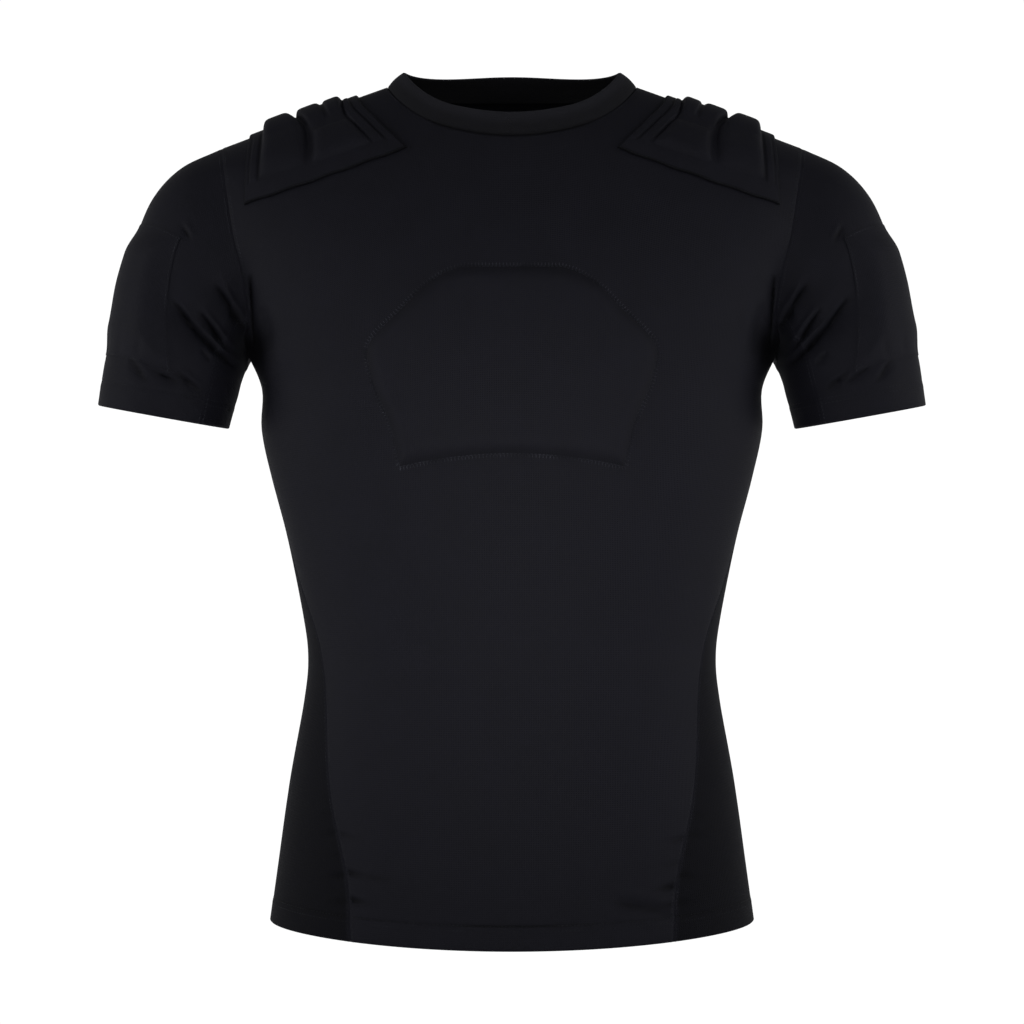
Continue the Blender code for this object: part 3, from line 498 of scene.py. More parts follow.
def knit_material(name, dark, light, wale, course, relief, roughness, sheen, specular):
    """Knitted cloth: rows of loops on the cloth's own UV, in metres, with a faint uneven tone.

    Real loops are about half a millimetre; they are drawn wider so that they show. The seam value
    lightens sewn edges a little where it is above 0. Below 0 it darkens the cloth: painted shade in folds,
    sewn lines, pad edges and the inside of the collar, and the side panels' tone by SIDE_SHADE.
    """
    material = bpy.data.materials.new(name)
    tree = empty_tree(material)
    uv = add_node(tree, "ShaderNodeUVMap", {"uv_map": "cloth"})
    place = add_node(tree, "ShaderNodeSeparateXYZ", Vector=uv)
    column = add_node(tree, "ShaderNodeMath", {"operation": "DIVIDE"}, i0=place.outputs["X"], i1=wale)
    row = add_node(tree, "ShaderNodeMath", {"operation": "DIVIDE"}, i0=place.outputs["Y"], i1=course)
    leg = add_node(tree, "ShaderNodeMath", {"operation": "PINGPONG"}, i0=column, i1=KNIT_LEG_SHARE)
    slant = add_node(tree, "ShaderNodeMath", {"operation": "ADD"}, i0=row, i1=leg)
    turn = add_node(tree, "ShaderNodeMath", {"operation": "MULTIPLY"}, i0=slant, i1=TURN)
    loop = add_node(tree, "ShaderNodeMath", {"operation": "SINE"}, i0=turn)
    height = add_node(tree, "ShaderNodeMath", {"operation": "MULTIPLY_ADD"}, i0=loop, i1=KNIT_LOOP_SHARE,
                      i2=leg)
    bump = add_node(tree, "ShaderNodeBump", Strength=KNIT_BUMP, Distance=relief, Height=height)
    coords = add_node(tree, "ShaderNodeTexCoord")
    blotch = add_node(tree, "ShaderNodeTexNoise", Vector=coords.outputs["Object"], Scale=KNIT_BLOTCHES,
                      Detail=KNIT_BLOTCH_DETAIL)
    seam = add_node(tree, "ShaderNodeAttribute", {"attribute_name": "seam"})
    # The seam value shifts the tone: lighter at sewn edges, darker where it holds painted shade.
    seam_tone_and_painted_shade = add_node(tree, "ShaderNodeMath", {"operation": "MULTIPLY_ADD"}, i0=seam.outputs["Fac"],
                    i1=KNIT_SEAM_TONE, i2=blotch)
    tone = add_node(tree, "ShaderNodeMath", {"operation": "MULTIPLY_ADD", "use_clamp": True}, i0=loop,
                    i1=KNIT_LOOP_TONE, i2=seam_tone_and_painted_shade)
    yarn = add_node(tree, "ShaderNodeMix", {"data_type": "RGBA"}, i0=tone, i6=hex_colour(dark),
                    i7=hex_colour(light))
    # Painted shade: below 0 the seam value darkens the colour, down to KNIT_DARKEST.
    sink_and_painted_shade = add_node(tree, "ShaderNodeMapRange", Value=seam.outputs["Fac"], From_Min=-1.0, From_Max=0.0,
                    To_Min=KNIT_DARKEST, To_Max=1.0)
    colour = add_node(tree, "ShaderNodeMix", {"data_type": "RGBA", "blend_type": "MULTIPLY"}, i0=1.0,
                      i6=yarn.outputs[2], i7=sink_and_painted_shade)
    matt = add_node(tree, "ShaderNodeMapRange", Value=blotch, To_Min=roughness - KNIT_UNEVEN_SHINE,
                    To_Max=roughness + KNIT_UNEVEN_SHINE)
    shader = add_node(tree, "ShaderNodeBsdfPrincipled", Base_Color=colour.outputs[2], Roughness=matt,
                      Normal=bump, Specular_IOR_Level=specular, Sheen_Weight=sheen,
                      Sheen_Roughness=SHEEN_ROUGHNESS, Sheen_Tint=hex_colour(SHEEN_TINT))
    add_node(tree, "ShaderNodeOutputMaterial", Surface=shader)
    return material


def add_object(name, data):
    """New object in the scene."""
    obj = bpy.data.objects.new(name, data)
    bpy.context.scene.collection.objects.link(obj)
    return obj


def add_piece(name, mesh, material, slot, *nodes):
    """Object of one finished piece: rides on the garment and stands for its CAD nodes."""
    mesh.materials.append(material)
    obj = add_object(name, mesh)
    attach(obj, "root")
    if nodes:
        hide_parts(*nodes)
    return obj


skins = {}


def lay_cloth(name, node, points, normals, lift, near, hem, material, slot):
    """Finished panel with its hem folded over. Its outer skin is kept for the sewing."""
    mesh, skin = wall_mesh(name, points, normals, lift, near, folded=(hem,))
    skins[node] = (skin, normals)
    return add_piece(name, mesh, material, slot, node)


# To the eye: smooth, nearly black cloth with a fine grain and hardly any shine.
body_knit = knit_material("stretch_knit_nylon_elastane", dark="0E0E12", light="111116", wale=0.0013,
                          course=0.0016, relief=0.00025, roughness=0.62, sheen=0.003, specular=0.03)

FRONT_CREASES = {
    "underarm_left": (-0.1895, -0.159, -0.1845, -0.186, 0.005, 0.0022),
    "underarm_right": (0.1905, -0.157, 0.1850, -0.188, 0.005, 0.0024),
    "hem_right": (0.0790, -0.6045, 0.1200, -0.6135, 0.0045, 0.0020),
    "waist_left": (-0.1450, -0.424, -0.0900, -0.430, 0.012, 0.0010),
    "waist_right": (0.1430, -0.410, 0.0960, -0.421, 0.011, 0.0010),
    "chest_left": (-0.1620, -0.300, -0.1120, -0.318, 0.014, 0.0008),
}
FRONT_PUCKERS = {
    "left": ((-0.5545, 0.0010), (-0.5830, 0.0018), (-0.6030, 0.0020)),
    "right": ((-0.5580, 0.0012), (-0.5760, 0.0008), (-0.5930, 0.0019), (-0.6070, 0.0013)),
}
HEM_TUCKS = {
    "right": (0.0770, -0.6040, 0.1240, -0.6145, 0.0024, 0.60),
    "left": (-0.0930, -0.5870, -0.1150, -0.5855, 0.0022, 0.35),
}
SLACK = 0.0004
BODY_SEAMS = ("left", "right", "top")


def lay_body(node, points, toward, creases, puckers, dark):
    """Front (-1) or back (1) panel with its creases and puckers; dark is the painted shade of its other
    folds.
    """
    normals = grid_normals(points, toward > 0)
    lift, near, free = seam_lift(points, BODY_SEAMS)
    loose = slack_lift(points, SLACK) + crease_lift(points, normals, creases, toward)
    pinch, pinched = pucker_lift(points, puckers)
    lift += hem_lift(points, "bottom") + loose * free + pinch
    # Painted shade of the hem line, the neck seam line, the puckers and the other folds.
    near = shaded(near - hem_shade(points, "bottom") - neck_shade(points), np.maximum(pinched, dark))
    return lay_cloth(f"{node}_panel", node, points, normals, lift, near, "bottom", body_knit, "body_knit")


front_points = part_seams(body_panel(-1), BODY_SEAMS)
front_dark = underarm_folds(front_points)[1]
# Painted shade along the two tucks by the front hem, added to that of the underarm folds.
for row in HEM_TUCKS.values():
    away, deep = fold_line(front_points[..., (0, 2)], row)
    front_dark = np.maximum(front_dark, deep * np.exp(-away ** 2))
front_panel = lay_body("front", front_points, -1, FRONT_CREASES, FRONT_PUCKERS, front_dark)

# Back panel: the same knit in one piece from the hem to the shoulders, cut higher at the neck.
# It is sewn as the front is. Slack gathers a little across the hollow of the back, in a few
# shallow folds of uneven length, and it drags from the underarms like the front.
BACK_CREASES = {
    "hollow_low": (-0.0980, -0.452, 0.0350, -0.464, 0.011, 0.0016),
    "hollow_middle": (-0.0450, -0.424, 0.1080, -0.431, 0.010, 0.0020),
    "hollow_high": (-0.1120, -0.402, -0.0080, -0.396, 0.009, 0.0013),
    "flank_left": (-0.1380, -0.372, -0.0820, -0.352, 0.010, 0.0012),
    "flank_right": (0.1400, -0.380, 0.0930, -0.364, 0.011, 0.0014),
    "underarm_left": (-0.1930, -0.176, -0.1380, -0.232, 0.010, 0.0020),
    "underarm_left_low": (-0.1860, -0.204, -0.1520, -0.246, 0.008, 0.0012),
    "underarm_right": (0.1940, -0.172, 0.1450, -0.226, 0.010, 0.0021),
    "underarm_right_high": (0.2020, -0.148, 0.1640, -0.176, 0.008, 0.0013),
    "hem_left": (-0.1020, -0.604, -0.0720, -0.598, 0.006, 0.0010),
}
BACK_PUCKERS = {
    "left": ((-0.5550, 0.0010), (-0.5740, 0.0015), (-0.6080, 0.0016)),
    "right": ((-0.5570, 0.0012), (-0.5730, 0.0009), (-0.5890, 0.0015)),
}
back_points = part_seams(body_panel(1), BODY_SEAMS)
back_panel = lay_body("back", back_points, 1, BACK_CREASES, BACK_PUCKERS, np.zeros(back_points.shape[:2]))

# Side panels: a matt, more open knit that breathes, wide at the hem and running out under the arm.
# They are flatlocked to the front and back, and the seam puckers a little above the hem, where
# the two knits stretch differently.
SIDE_COLUMNS = 30
SIDE_PUCKERS = {
    "left": ((-0.5400, 0.0006), (-0.5540, 0.0012), (-0.5700, 0.0006), (-0.5850, 0.0018), (-0.6045, 0.0014)),
    "right": ((-0.5560, 0.0009), (-0.5730, 0.0014), (-0.5900, 0.0008), (-0.6090, 0.0013)),
}
SIDE_SHADE = 0.49
SIDES = {"left": -1.0, "right": 1.0}
# To the eye: duller than the body knit, with a coarser grain. The side panels look darker than the
# gussets of the same knit, by SIDE_SHADE.
side_knit = knit_material("open_faced_knit_polyester", dark="09090D", light="0D0D12", wale=0.0019,
                          course=0.0021, relief=0.0004, roughness=0.72, sheen=0.014, specular=0.03)


def side_points(side):
    """Grid of a side panel from its front seam to its back seam, hem row first."""
    rows = ring_rows()
    rows = rows[rows <= UNDERARM]
    start, end = smooth(track["seam"], rows), math.pi - smooth(track["seam"], BACK_HEM - rows)
    even = np.linspace(0.0, 1.0, SIDE_COLUMNS + 1)
    eased = 0.5 - 0.5 * np.cos(math.pi * even)
    share = 0.5 * (even + eased)
    points = body_form(rows[:, None], start[:, None] + (end - start)[:, None] * share)
    points[:, -1] = body_form(BACK_HEM - rows, math.pi - end)
    return points * np.array((side, 1.0, 1.0))


for name, side in SIDES.items():
    points = part_seams(press_folds(side_points(side)), BODY_SEAMS)
    normals = grid_normals(points, side < 0.0)
    lift, near, _ = seam_lift(points, ("left", "right"))
    pinch, dark = pucker_lift(points, SIDE_PUCKERS)
    # Painted shade of the hem line, the puckers and the underarm folds; SIDE_SHADE darkens the whole panel.
    near = shaded(near - hem_shade(points, "bottom") - SIDE_SHADE,
                  np.maximum(dark, underarm_folds(points)[1]))
    panel = lay_cloth(f"side_panel_{name}", f"side_{name}", points, normals,
                      lift + hem_lift(points, "bottom") + pinch, near, "bottom", side_knit, "side_knit")

# Sleeves and underarm gussets: short set-in sleeves of the body knit, each with a tapering gusset of
# the open knit under the arm. Both are flatlocked in, and the cuff is turned up and twin-needled.
# The arm hangs, so slack folds run from the upper arm down into the underarm.
SLEEVE_COLUMNS = ("outer_x", "outer_z", "inner_x", "inner_z", "half_depth", "y")
SLEEVE_ROWS = {
    "armhole": (0.2265, -0.0290, 0.2055, -0.190, 0.0660, 0.006),
    "cap": (0.2572, -0.0440, 0.2070, -0.1945, 0.0655, 0.004),
    "shoulder": (0.2787, -0.0665, 0.2070, -0.200, 0.0645, 0.003),
    "pad_top": (0.2925, -0.0970, 0.2090, -0.204, 0.0630, 0.002),
    "pad": (0.3030, -0.1310, 0.2117, -0.212, 0.0615, 0.0),
    "low_pad": (0.3092, -0.1640, 0.2140, -0.222, 0.0600, -0.002),
    "pad_end": (0.3165, -0.1950, 0.2178, -0.235, 0.0585, -0.003),
    "cuff": (0.3214, -0.2285, 0.2207, -0.2465, 0.0570, -0.004),
}
SLEEVE_POWER, CUFF_CLOSING, ARMHOLE_EASE = 0.92, 1.15, 3
GUSSET_AT_ARMHOLE, GUSSET_AT_CUFF = math.radians(130.0), math.radians(129.0)
SLEEVE_RING_ROWS, CUFF_ROWS = (16, 16, 16, 16, 12, 10), 22
SLEEVE_SEAMS = ("left", "right", "bottom")
TUCK_BULGE, TUCK_BULGE_SHARE, TUCK_EDGE, DEEP_TUCK = 1.9, 0.4, 0.2, 0.0035
TUCK_START, TUCK_RUN, TUCK_STEEP, TUCK_LONG = 0.08, 0.80, 2.0, 0.8
SLEEVE_CREASES = {
    "left": {
        "upper_start": (-0.2251, -0.1413, -0.2125, -0.1605, 0.0026, 0.0036),
        "upper_end": (-0.2150, -0.1560, -0.2030, -0.1760, 0.0030, 0.0060),
        "middle": (-0.2370, -0.1616, -0.2185, -0.1870, 0.0024, 0.0048),
        "long_start": (-0.2573, -0.1530, -0.2391, -0.1766, 0.0024, 0.0036),
        "long_end": (-0.2430, -0.1720, -0.2160, -0.1985, 0.0026, 0.0046),
        "short": (-0.2365, -0.1880, -0.2310, -0.1957, 0.0018, 0.0016),
        "corner": (-0.2512, -0.0952, -0.2458, -0.1024, 0.0020, 0.0024),
        "pad_end_outer": (-0.2912, -0.1958, -0.2804, -0.2105, 0.0022, 0.0032),
        "pad_end_middle": (-0.2740, -0.2030, -0.2563, -0.2133, 0.0020, 0.0028),
        "pad_end_inner": (-0.2545, -0.2070, -0.2394, -0.2187, 0.0022, 0.0026),
    },
    "right": {
        "upper_start": (0.2240, -0.1405, 0.2118, -0.1600, 0.0026, 0.0034),
        "upper_end": (0.2140, -0.1555, 0.2030, -0.1750, 0.0030, 0.0058),
        "middle": (0.2345, -0.1590, 0.2180, -0.1850, 0.0024, 0.0044),
        "long_start": (0.2560, -0.1500, 0.2390, -0.1740, 0.0024, 0.0034),
        "long_end": (0.2425, -0.1695, 0.2155, -0.1975, 0.0026, 0.0048),
        "short": (0.2400, -0.1905, 0.2325, -0.1990, 0.0018, 0.0016),
        "corner": (0.2518, -0.0958, 0.2464, -0.1030, 0.0020, 0.0022),
        "pad_end_outer": (0.2890, -0.1975, 0.2796, -0.2108, 0.0022, 0.0030),
        "pad_end_middle": (0.2720, -0.2020, 0.2570, -0.2120, 0.0020, 0.0028),
        "pad_end_inner": (0.2550, -0.2065, 0.2410, -0.2180, 0.0022, 0.0024),
    },
}
SLEEVE_BACK_CREASES = {
    "left": {
        "upper": (-0.2380, -0.1400, -0.2110, -0.1660, 0.0055, 0.0034),
        "long": (-0.2680, -0.1560, -0.2230, -0.1930, 0.0052, 0.0026),
        "short": (-0.2530, -0.1830, -0.2330, -0.2010, 0.0042, 0.0016),
    },
    "right": {
        "upper": (0.2420, -0.1360, 0.2120, -0.1640, 0.0055, 0.0030),
        "long": (0.2640, -0.1530, 0.2240, -0.1880, 0.0052, 0.0029),
        "low": (0.2600, -0.1910, 0.2360, -0.2070, 0.0045, 0.0015),
    },
}
sleeve = {name: [row[i] for row in SLEEVE_ROWS.values()] for i, name in enumerate(SLEEVE_COLUMNS)}
CUFF = len(SLEEVE_ROWS) - 1


def sleeve_point(t, angle):
    """Points of the plain right sleeve: ring t from the armhole, angle from its outer side."""
    x_out, x_in = smooth(sleeve["outer_x"], t), smooth(sleeve["inner_x"], t)
    z_out, z_in = smooth(sleeve["outer_z"], t), smooth(sleeve["inner_z"], t)
    swing = 0.5 * signed_power(np.cos(angle), SLEEVE_POWER)
    y = smooth(sleeve["y"], t) - smooth(sleeve["half_depth"], t) * signed_power(np.sin(angle), SLEEVE_POWER)
    x = 0.5 * (x_out + x_in) + (x_out - x_in) * swing
    return np.stack(np.broadcast_arrays(x, y, 0.5 * (z_out + z_in) + (z_out - z_in) * swing), axis=-1)


def armhole_edge():
    """Points of the right armhole from the ridge down the front, under the arm and up the back."""
    rows = ring_rows()
    rows = rows[rows >= UNDERARM]
    front = body_form(rows[::-1], smooth(track["seam"], rows[::-1]))
    back = body_form(BACK_HEM - rows, smooth(track["seam"], BACK_HEM - rows))
    return np.concatenate([front, side_points(1.0)[-1, 1:-1], back])


armhole = armhole_edge()
top, bottom = np.array([(sleeve[f"{end}_x"][0], sleeve["y"][0], sleeve[f"{end}_z"][0])
                        for end in ("outer", "inner")])
across_arm = 0.5 * (top - bottom)
up = (armhole - 0.5 * (top + bottom)) @ across_arm / (across_arm @ across_arm)
forward = (sleeve["y"][0] - armhole[:, 1]) / sleeve["half_depth"][0]
round_arm = np.unwrap(np.arctan2(forward, up))
ridge_angle = round_arm[0]
armhole_angles = np.where(round_arm <= math.pi,
                          (round_arm - ridge_angle) * math.pi / (math.pi - ridge_angle),
                          math.pi + (round_arm - math.pi) * math.pi / (math.pi + ridge_angle))
armhole_offsets = armhole - sleeve_point(0.0, armhole_angles)


def sleeve_surface(t, angle):
    """Points of the right sleeve, easing from the true armhole into the plain rings."""
    t, angle = np.broadcast_arrays(np.asarray(t, float), np.asarray(angle, float))
    turn = angle % TURN
    turn = np.where((turn == 0.0) & (angle > 0.0), TURN, turn)
    offset = np.stack([np.interp(turn, armhole_angles, offsets) for offsets in armhole_offsets.T], axis=-1)
    return press_folds(sleeve_point(t, angle) + offset * ((1.0 - t / CUFF) ** ARMHOLE_EASE)[..., None])


def sleeve_grid(side):
    """Whole sleeve, armhole row first, round from the ridge by the front."""
    rings = [ring + np.linspace(0.0, 1.0, count + 1)[:-1] for ring, count in enumerate(SLEEVE_RING_ROWS)]
    t = np.concatenate([*rings, CUFF - 1 + closing(CUFF_ROWS, CUFF_CLOSING)])[:, None]
    turned = np.minimum(armhole_angles, TURN - armhole_angles)
    low = turned * GUSSET_AT_CUFF / GUSSET_AT_ARMHOLE
    high = math.pi - (math.pi - turned) * (math.pi - GUSSET_AT_CUFF) / (math.pi - GUSSET_AT_ARMHOLE)
    moved = turned + (np.where(turned < GUSSET_AT_ARMHOLE, low, high) - turned) * t / CUFF
    points = sleeve_surface(t, np.where(armhole_angles <= math.pi, moved, TURN - moved))
    return points * np.array((side, 1.0, 1.0))


def tuck_lift(points, normals, rows, face):
    """Sharp tucks, steep above and long below, where slack cloth hangs over itself, and their painted shade.
    """
    lift, dark = np.zeros((2, *points.shape[:2]))
    for row in rows.values():
        above, swell, depth = beside_fold(points, row, TUCK_START, TUCK_RUN)
        away = np.where(above > 0.0, TUCK_STEEP * above, -TUCK_LONG * above)
        valley = np.exp(TUCK_EDGE - np.hypot(away, TUCK_EDGE))
        bulge = TUCK_BULGE_SHARE * np.exp(-(above - TUCK_BULGE) ** 2)
        lift += depth * (bulge - valley) * swell
        deep = min(depth / DEEP_TUCK, 1.0)
        dark = np.maximum(dark, deep * np.exp(-(above / TUCK_DARK) ** 2) * np.sqrt(swell))
    facing = facing_share(normals, face)
    return lift * facing, dark * facing


def sleeve_slack(points, normals, name):
    """Loose folds of one sleeve, front and back, and the painted shade inside them."""
    front_lift, front_dark = tuck_lift(points, normals, SLEEVE_CREASES[name], -1.0)
    back_lift, back_dark = tuck_lift(points, normals, SLEEVE_BACK_CREASES[name], 1.0)
    return slack_lift(points, SLACK) + front_lift + back_lift, np.maximum(front_dark, back_dark)


first = int(np.argmin(np.abs(armhole_angles - GUSSET_AT_ARMHOLE)))
last = int(np.argmin(np.abs(armhole_angles - (TURN - GUSSET_AT_ARMHOLE))))
for name, side in SIDES.items():
    grid = sleeve_grid(side)
    round_sleeve = np.concatenate([grid[:, last:-1], grid[:, :first + 1]], axis=1)
    for kind, points, material, slot, flat, area in (
            ("sleeve", round_sleeve, body_knit, "body_knit", (0.34, 0.24), 0.05),
            ("gusset", grid[:, first:last + 1], side_knit, "side_knit", (0.12, 0.08), 0.0078)):
        points = part_seams(points, SLEEVE_SEAMS)
        normals = grid_normals(points, side < 0.0)
        lift, near, _ = seam_lift(points, SLEEVE_SEAMS)
        slack, dark = sleeve_slack(points, normals, name)
        free = 1.0 - np.exp(-(edge_distance(points, "bottom") / SEAM_FREE) ** 2)
        # Painted shade of the sleeve's folds and of the underarm folds and pocket.
        near = shaded(near, np.maximum(dark, underarm_folds(points)[1]))
        piece = lay_cloth(f"{kind}_panel_{name}", f"{kind}_{name}", points, normals,
                          lift + hem_lift(points, "top") + slack * free, near, "top", material, slot)

# Crew collar: a doubled band of firm knit, folded along its top edge and sewn into the neck seam.
# A flat cover stitch below the seam keeps it down. It leans in a little, as on a neck.
COLLAR_WALL = 0.0022
COLLAR_TOP_HALF_WIDTH, COLLAR_TOP_FRONT, COLLAR_TOP_BACK = 0.0846, 0.062, 0.052
COLLAR_RISE_FRONT, COLLAR_RISE_SIDE, COLLAR_RISE_BACK = 0.0185, 0.0115, 0.0165
COLLAR_ROWS, COLLAR_SWELL, COLLAR_SWELL_POWER, COLLAR_TUCK = 18, 0.0008, 0.7, 0.2
COLLAR_GAP, COLLAR_GAP_END = 0.0003, 0.5
COLLAR_INSIDE_DARK, COLLAR_SIDE_DARK = 0.75, 0.35
COLLAR_SHADE, COLLAR_SHADE_FROM, COLLAR_SHADE_RANGE = 0.6, 0.35, 0.55
COLLAR_SEAM_SHADE, COLLAR_SEAM_SHADE_WIDTH = 0.4, 0.07
# To the eye: a firm matt band, lighter where its fold turns to the light; below the fold painted shade
# darkens it.
collar_knit = knit_material("doubled_rib_knit", dark="151518", light="19191D", wale=0.0016, course=0.0020,
                            relief=0.0003, roughness=0.74, sheen=0.012, specular=0.04)
centre = front_points.shape[1] // 2


def round_neck(front, back):
    """Values along the neck edge, right half of the front first, once round to the start again."""
    half = slice(centre, centre + NECK_COLUMNS + 1), slice(centre - NECK_COLUMNS, centre)
    return np.concatenate([front[half[0]], back[half[0]][::-1][1:], back[half[1]][::-1], front[half[1]][1:],
                           front[half[0]][:1]])


base = round_neck(body_panel(-1)[-1], body_panel(1)[-1])
lean = round_neck(skins["front"][1][-1], skins["back"][1][-1])
on_front = base[:, 1] < 0.0
depth_base = np.where(on_front, NECK_FRONT, NECK_BACK)
depth_top = np.where(on_front, COLLAR_TOP_FRONT, COLLAR_TOP_BACK)
rise_middle = np.where(on_front, COLLAR_RISE_FRONT, COLLAR_RISE_BACK)
collar_height = COLLAR_RISE_SIDE + (rise_middle - COLLAR_RISE_SIDE) * (base[:, 1] / depth_base) ** 2
rise = np.linspace(-COLLAR_TUCK, 1.0, COLLAR_ROWS + 1)[:, None]
above = np.maximum(rise, 0.0)
collar_points = np.stack([
    base[:, 0] * (1.0 + (COLLAR_TOP_HALF_WIDTH / NECK_HALF_WIDTH - 1.0) * above),
    base[:, 1] * (1.0 + (depth_top / depth_base - 1.0) * above),
    base[:, 2] + collar_height * rise], axis=-1)
inward = unit(-np.stack([base[:, 0] / NECK_HALF_WIDTH ** 2, base[:, 1] / depth_base ** 2], axis=-1))
inset = np.maximum(-np.sum(lean[:, :2] * inward, axis=-1), 0.0) * KNIT_WALL + COLLAR_GAP
collar_points[..., :2] += inward * inset[:, None] * np.clip(1.0 - rise / COLLAR_GAP_END, 0.0, 1.0)[..., None]
collar_normals = grid_normals(collar_points, False, closed=True)
lift = COLLAR_SWELL * np.sin(math.pi * above) ** COLLAR_SWELL_POWER + 0.0 * base[:, 0]
# Painted shade: the band darkens from below its fold down to the neck seam, with a darker line at the seam
# in the middle of the neck. Its inside is painted darker still, most low down and towards the sides.
near = -COLLAR_SHADE * (1.0 - soft_step((rise - COLLAR_SHADE_FROM) / COLLAR_SHADE_RANGE))
near = near - COLLAR_SEAM_SHADE * np.exp(-(rise / COLLAR_SEAM_SHADE_WIDTH) ** 2) * neck_fade(base[:, 0])
within = -np.minimum(COLLAR_INSIDE_DARK + (1.0 - COLLAR_INSIDE_DARK) * (1.0 - rise)
                     + COLLAR_SIDE_DARK * np.abs(base[:, 0] / NECK_HALF_WIDTH), 1.0)
mesh, _ = wall_mesh("collar_band", collar_points, collar_normals, lift, near, COLLAR_WALL, closed=True,
                    folded=("top",), within=within)
collar_band = add_piece("collar_band", mesh, collar_knit, "collar_knit", "collar")

# Chest pad: one shaped sheet of soft foam, about four millimetres thick, under a stretch cover that
# is overlocked on to the front panel along its outline. Its face swells a little inside the stitches.
CHEST_PAD_ROWS = {
    "top": (-0.1290, 0.0365),
    "top_corner": (-0.1325, 0.0490),
    "upper": (-0.1437, 0.0663),
    "slant": (-0.1616, 0.0834),
    "side_top": (-0.1817, 0.1050),
    "side": (-0.1913, 0.1095),
    "lower_side": (-0.2182, 0.1028),
    "lower": (-0.2450, 0.0905),
    "bottom": (-0.2778, 0.0834),
}
CHEST_PAD_SHADE, CHEST_PAD_SHADE_WIDTH = 0.28, 0.0045
CHEST_PAD_ARCH, CHEST_PAD_SLACK, CHEST_PAD_SWELL_POWER = 0.0097, 0.0003, 0.6
CHEST_PAD_EDGE, CHEST_PAD_CROWN, CHEST_PAD_SHOULDER = 0.0009, 0.0042, 0.011
CHEST_PAD_COLUMNS, CHEST_PAD_ROW_COUNT, ROUNDING, COLUMN_TURN = 96, 64, 3, 0.45 * math.pi
CHEST_PAD_CLEARANCE = 0.0007
# To the eye: the body knit drawn smooth over foam, a shade lighter.
pad_knit = knit_material("knit_cover_over_foam", dark="0F0F13", light="121217", wale=0.0013, course=0.0016,
                         relief=0.00025, roughness=0.62, sheen=0.003, specular=0.03)


def front_place(x, z):
    """Place on the front of points given in the front view."""
    low, high = np.zeros_like(x), np.full_like(x, COLLARBONE)
    for _ in range(HALVINGS):
        t = 0.5 * (low + high)
        below = body_at_x(t, x)[..., 2] < z
        low, high = np.where(below, t, low), np.where(below, high, t)
    return low


def outline_distance(flat, outline):
    """Distance of points in a plane from a closed outline."""
    nearest = np.full(flat.shape[:2], np.inf)
    for start, end in zip(outline, np.roll(outline, -1, axis=0)):
        along = end - start
        share = np.clip((flat - start) @ along / max(along @ along, TINY), 0.0, 1.0)
        nearest = np.minimum(nearest, np.linalg.norm(flat - start - share[..., None] * along, axis=-1))
    return nearest


def grid_outline(points):
    """Edge of a grid, once round."""
    return np.concatenate([points[0], points[1:, -1], points[-1, -2::-1], points[-2:0:-1, 0]])


def lay_pad(node, base, normals, lift, near):
    """Covered foam pad, lying on base. Its outer skin is kept for the sewing."""
    name = node.replace("pad", "foam_pad")
    mesh, skin = wall_mesh(name, base, normals, lift, near, 0.0)
    skins[node] = (skin, normals)
    add_piece(name, mesh, pad_knit, "pad_knit", node)


outline_z, outline_x = np.array(list(CHEST_PAD_ROWS.values())).T
down = 0.5 - 0.5 * np.cos(np.linspace(0.0, math.pi, CHEST_PAD_ROW_COUNT + 1))
drop = outline_z[0] + (outline_z[-1] - outline_z[0]) * down
half_width = np.interp(-drop, -outline_z, outline_x)
for _ in range(ROUNDING):
    half_width[1:-1] = 0.25 * half_width[:-2] + 0.5 * half_width[1:-1] + 0.25 * half_width[2:]
across = np.sin(np.linspace(-1.0, 1.0, CHEST_PAD_COLUMNS + 1) * COLUMN_TURN) / math.sin(COLUMN_TURN)
pad_x = half_width[:, None] * across
pad_z = drop[:, None] + CHEST_PAD_ARCH * (1.0 - across ** 2) * down[:, None] ** 2
pad_base = body_at_x(front_place(pad_x, pad_z), pad_x)[::-1]
pad_normals = grid_normals(pad_base, False)
inside = outline_distance(pad_base[..., (0, 2)], grid_outline(pad_base)[:, (0, 2)])
swell = soft_step(inside / CHEST_PAD_SHOULDER) ** CHEST_PAD_SWELL_POWER
crown = CHEST_PAD_CROWN - CHEST_PAD_EDGE + slack_lift(pad_base, CHEST_PAD_SLACK)
# Painted shade: a dark band just inside the pad's outline.
near = -CHEST_PAD_SHADE * np.exp(-(inside / CHEST_PAD_SHADE_WIDTH) ** 2)
lay_pad("chest_pad", pad_base + pad_normals * CHEST_PAD_CLEARANCE, pad_normals,
        CHEST_PAD_EDGE + crown * swell, near)

# Shoulder pads: thicker foam cut into blocks, covered with stretch knit and sewn down between the
# blocks, over each shoulder from front to back. A strip runs along the neck and arm edges, and a flat
# flange below the blocks is stitched to the front and back panels.
PAD_NECK_X = (0.1205, 0.1148, 0.1010, 0.0892, 0.0796)
PAD_NECK_STRIP, PAD_NECK_GROOVE, PAD_CUT_SHARE, PAD_GROOVE_X = 0.0076, 0.0165, 0.425, 0.1537
PAD_ARM_STRIP_X, PAD_ARM_X = (0.1925, 0.2003), 0.2035
PAD_RIDGE_SHIFT, PAD_RIDGE_SPREAD = {"neck_groove": -0.0052, "groove": 0.0148}, 0.25
PAD_FRONT_EDGE, PAD_BACK_EDGE = {"neck": 1.38, "arm": 2.33}, {"neck": 1.36, "arm": 2.20}
PAD_EDGE, PAD_FLANGE, PAD_STRIP, PAD_BLOCK, PAD_GROOVE = 0.0003, 0.0015, 0.0028, 0.0074, 0.0021
PAD_EDGE_ROLL, PAD_EDGE_DARK_POWER, SHOULDER_PAD_CLEARANCE = 0.0014, 4, 0.0003
